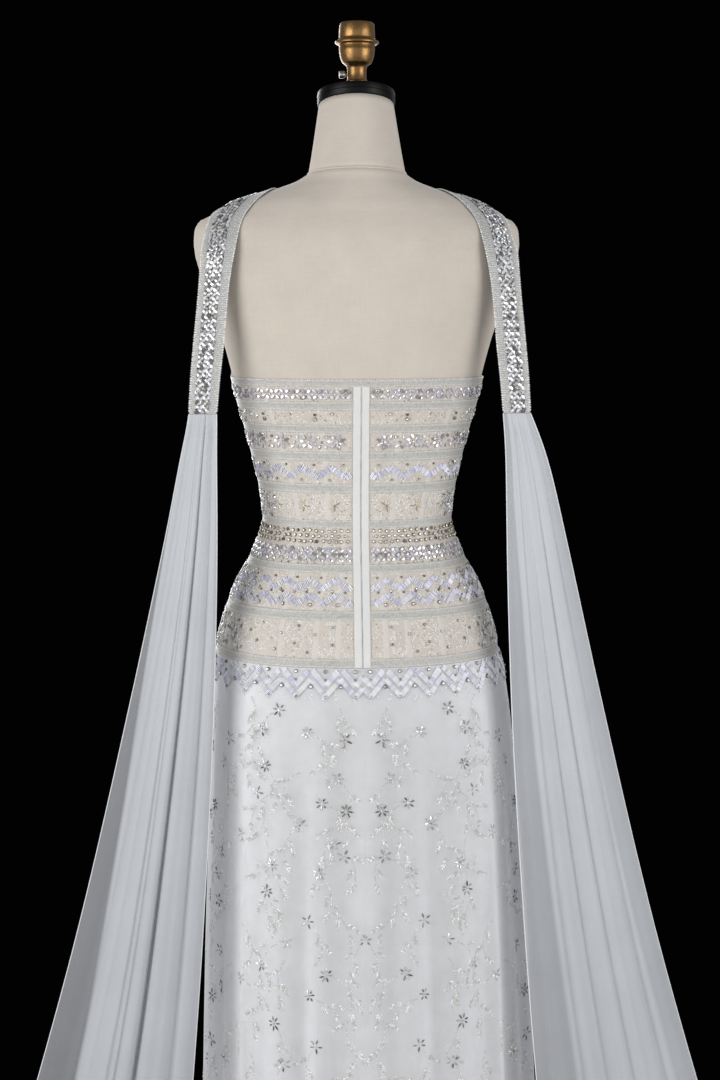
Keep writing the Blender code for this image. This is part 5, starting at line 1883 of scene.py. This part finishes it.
def cape_cover_and_shade(name, side, heights, shares):
    """Share of the light that a cape stops at each of its points, lowered in its creases, over its turned-away
    zones and towards the hem to paint shade there.
    """
    edges, (inner, middle, outer), deep = CAPE_COVER_AND_SHADE[name]
    drop = (CAPE_TOP - heights)[:, None]
    across = wandering(side, drop, shares)
    places, *ends = zip(*edges)
    inner_edge, outer_edge = [np.interp(heights, places, end)[:, None] for end in ends]
    cover = middle + (inner - middle) * np.clip((inner_edge - across) / 0.03 + 0.5, 0.0, 1.0)
    cover = cover + (outer - middle) * np.clip((across - outer_edge) / 0.03 + 0.5, 0.0, 1.0)
    # Painted shade: less cover in the main creases
    for place, depth in deep:
        cover = cover * (1.0 - depth * np.exp(-(((across - place) / 0.013) ** 2)))
    # Painted shade: a tenth less cover in the soft troughs
    cover = cover * (1.0 - 0.1 * creases(shares, 9, 8 + side))[None]
    return cover * np.interp(heights, *zip(*GATHER_AND_SHADE))[:, None]


class GOWN_OT_capes(bpy.types.Operator):
    """Hang the chiffon cape panels and roll their edges."""

    bl_idname = "gown.capes"
    bl_label = "Cape panels"

    def execute(self, context):
        look = context.scene.gown_cape
        chiffon = cloth_material("chiffon", look.chiffon, 0.7, 0.06, 0.25, 1200.0, 14.0, sheen=0.2)
        make_covered(chiffon, look.cover)
        edging = cloth_material("rolled_edge", look.edge, 0.5, 0.05, 0.2, 1500.0, 60.0, sheen=0.2)
        heights = np.array([*np.linspace(HEM, 1.15, 50), *np.linspace(1.165, CAPE_TOP, 12)])
        shares = np.linspace(0.0, 1.0, 185)
        for name, side, folds in (("left", 1, LEFT_FOLDS), ("right", -1, RIGHT_FOLDS)):
            grid = cape_points(side, folds, heights, shares, 0.0003)
            panel = shell("cape_chiffon_" + name, [grid], CHIFFON_WALL, chiffon, [side > 0])
            # The cover mask also paints the cape's shade as darker see-through chiffon
            give_mask(panel, "cover", cape_cover_and_shade(name, side, heights, shares))
            finished(panel, ["cape_" + name])
            line = np.concatenate([grid[::-1, 0], grid[0, 1:], grid[1:, -1]])
            line = line + np.where(line[:, 2:] < 0.01, np.array([[0.0, 0.0, look.roll - 0.0008]]), 0.0)
            finished(corded("cape_edge_" + name, line, look.roll, edging), ())
        return {"FINISHED"}


class GOWN_OT_stage(bpy.types.Operator):
    """Set the floor, the soft studio light and the camera."""

    bl_idname = "gown.stage"
    bl_label = "Stage"

    def execute(self, context):
        scene = context.scene
        look = scene.gown_stage
        deselect_all()
        bpy.ops.mesh.primitive_circle_add(vertices=128, radius=look.radius, fill_type="NGON")
        floor = bpy.context.object
        floor.name = "floor"
        floor.data.materials.append(cloth_material("studio_floor", look.floor, 0.8, 0.05, 0.1, 60.0, 3.0))
        self.add_lights(look.power)
        self.light_world(scene)
        self.add_camera(scene)
        scene.view_settings.view_transform = "Standard"
        return {"FINISHED"}

    def add_lights(self, power):
        """Soft square lights behind, beside and in front of the gown."""
        for name, place, target, size, spread, energy in (
            ("key", (-2.25, 1.65, 1.25), (0.0, 0.0, 1.2), 2.0, 110.0, 17.5),
            ("fill", (2.25, 1.65, 1.25), (0.0, 0.0, 1.2), 2.0, 110.0, 22.5),
            ("card", (0.1, 2.9, 1.1), (0.0, 0.0, 1.1), 2.0, 180.0, 9.0),
            ("front", (0.6, -3.0, 1.4), (0.0, 0.0, 0.9), 2.2, 180.0, 60.0),
        ):
            light = bpy.data.lights.new(name, "AREA")
            light.shape = "SQUARE"
            light.size = size
            light.spread = math.radians(spread)
            light.energy = energy * power
            lamp = linked(name, light)
            lamp.location = place
            lamp.rotation_euler = (Vector(target) - Vector(place)).to_track_quat("-Z", "Y").to_euler()

    def light_world(self, scene):
        """Pale light from all round, in front of a dark ground."""
        world = scene.world or bpy.data.worlds.new("studio")
        scene.world = world
        world.use_nodes = True
        tree = world.node_tree
        tree.nodes.clear()
        lit = add_node(tree, "Background", inputs={"Color": (0.94, 0.965, 1.0, 1.0), "Strength": 0.31})
        seen = add_node(tree, "Background", inputs={"Color": (0.0006, 0.0006, 0.0006, 1.0), "Strength": 1.0})
        seen_share = add_node(tree, "LightPath").outputs["Is Camera Ray"]
        mix = add_node(tree, "MixShader", inputs={0: seen_share, 1: lit.outputs[0], 2: seen.outputs[0]})
        add_node(tree, "OutputWorld", inputs={"Surface": mix.outputs[0]})

    def add_camera(self, scene):
        """Camera at the photograph's viewpoint."""
        eye = bpy.data.cameras.new("photograph_view")
        eye.lens = LENS
        eye.sensor_width = 36.0
        eye.dof.use_dof = False
        camera = linked("photograph_view", eye)
        turn = math.radians(EYE_TURN)
        camera.location = (EYE_DISTANCE * math.sin(turn), EYE_DISTANCE * math.cos(turn), EYE_HEIGHT)
        camera.rotation_euler = Euler([math.radians(v) for v in (90.0 - EYE_TILT, 0.0, 180.0 - EYE_AIM)], "XYZ")
        scene.camera = camera


class GOWN_PT_panel(bpy.types.Panel):
    """Lists the gown's steps."""

    bl_label = "Gown"
    bl_idname = "GOWN_PT_panel"
    bl_space_type = "VIEW_3D"
    bl_region_type = "UI"
    bl_category = "Gown"

    def draw(self, context):
        for step in STEPS:
            self.layout.operator(step.bl_idname)
        for group in GROUPS:
            look = getattr(context.scene, group)
            box = self.layout.box()
            for name in type(look).__annotations__:
                box.prop(look, name)


STEPS = (
    GOWN_OT_stage, GOWN_OT_form, GOWN_OT_metal, GOWN_OT_bodice, GOWN_OT_bodice_beads,
    GOWN_OT_placket, GOWN_OT_skirt, GOWN_OT_skirt_beads, GOWN_OT_bands, GOWN_OT_capes,
)
GROUPS = {
    "gown_form": FormLook,
    "gown_bodice": BodiceLook,
    "gown_skirt": SkirtLook,
    "gown_cape": CapeLook,
    "gown_stage": StageLook,
}


# Flat cut of each cloth's panels, with how they are held, what they rest on and what is sewn on them
Cut = namedtuple("Cut", "cloth panels width length area held rests_on sewn_on")


def register():
    """Add the property groups, steps and panel."""
    for name, group in GROUPS.items():
        bpy.utils.register_class(group)
        setattr(bpy.types.Scene, name, PointerProperty(type=group))
    for step in (*STEPS, GOWN_PT_panel):
        bpy.utils.register_class(step)


def unregister():
    """Take them away again."""
    for step in (GOWN_PT_panel, *reversed(STEPS)):
        bpy.utils.unregister_class(step)
    for name, group in GROUPS.items():
        delattr(bpy.types.Scene, name)
        bpy.utils.unregister_class(group)


def main():
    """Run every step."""
    register()
    for step in STEPS:
        area, name = step.bl_idname.split(".")
        getattr(getattr(bpy.ops, area), name)()


if __name__ == "__main__":
    main()
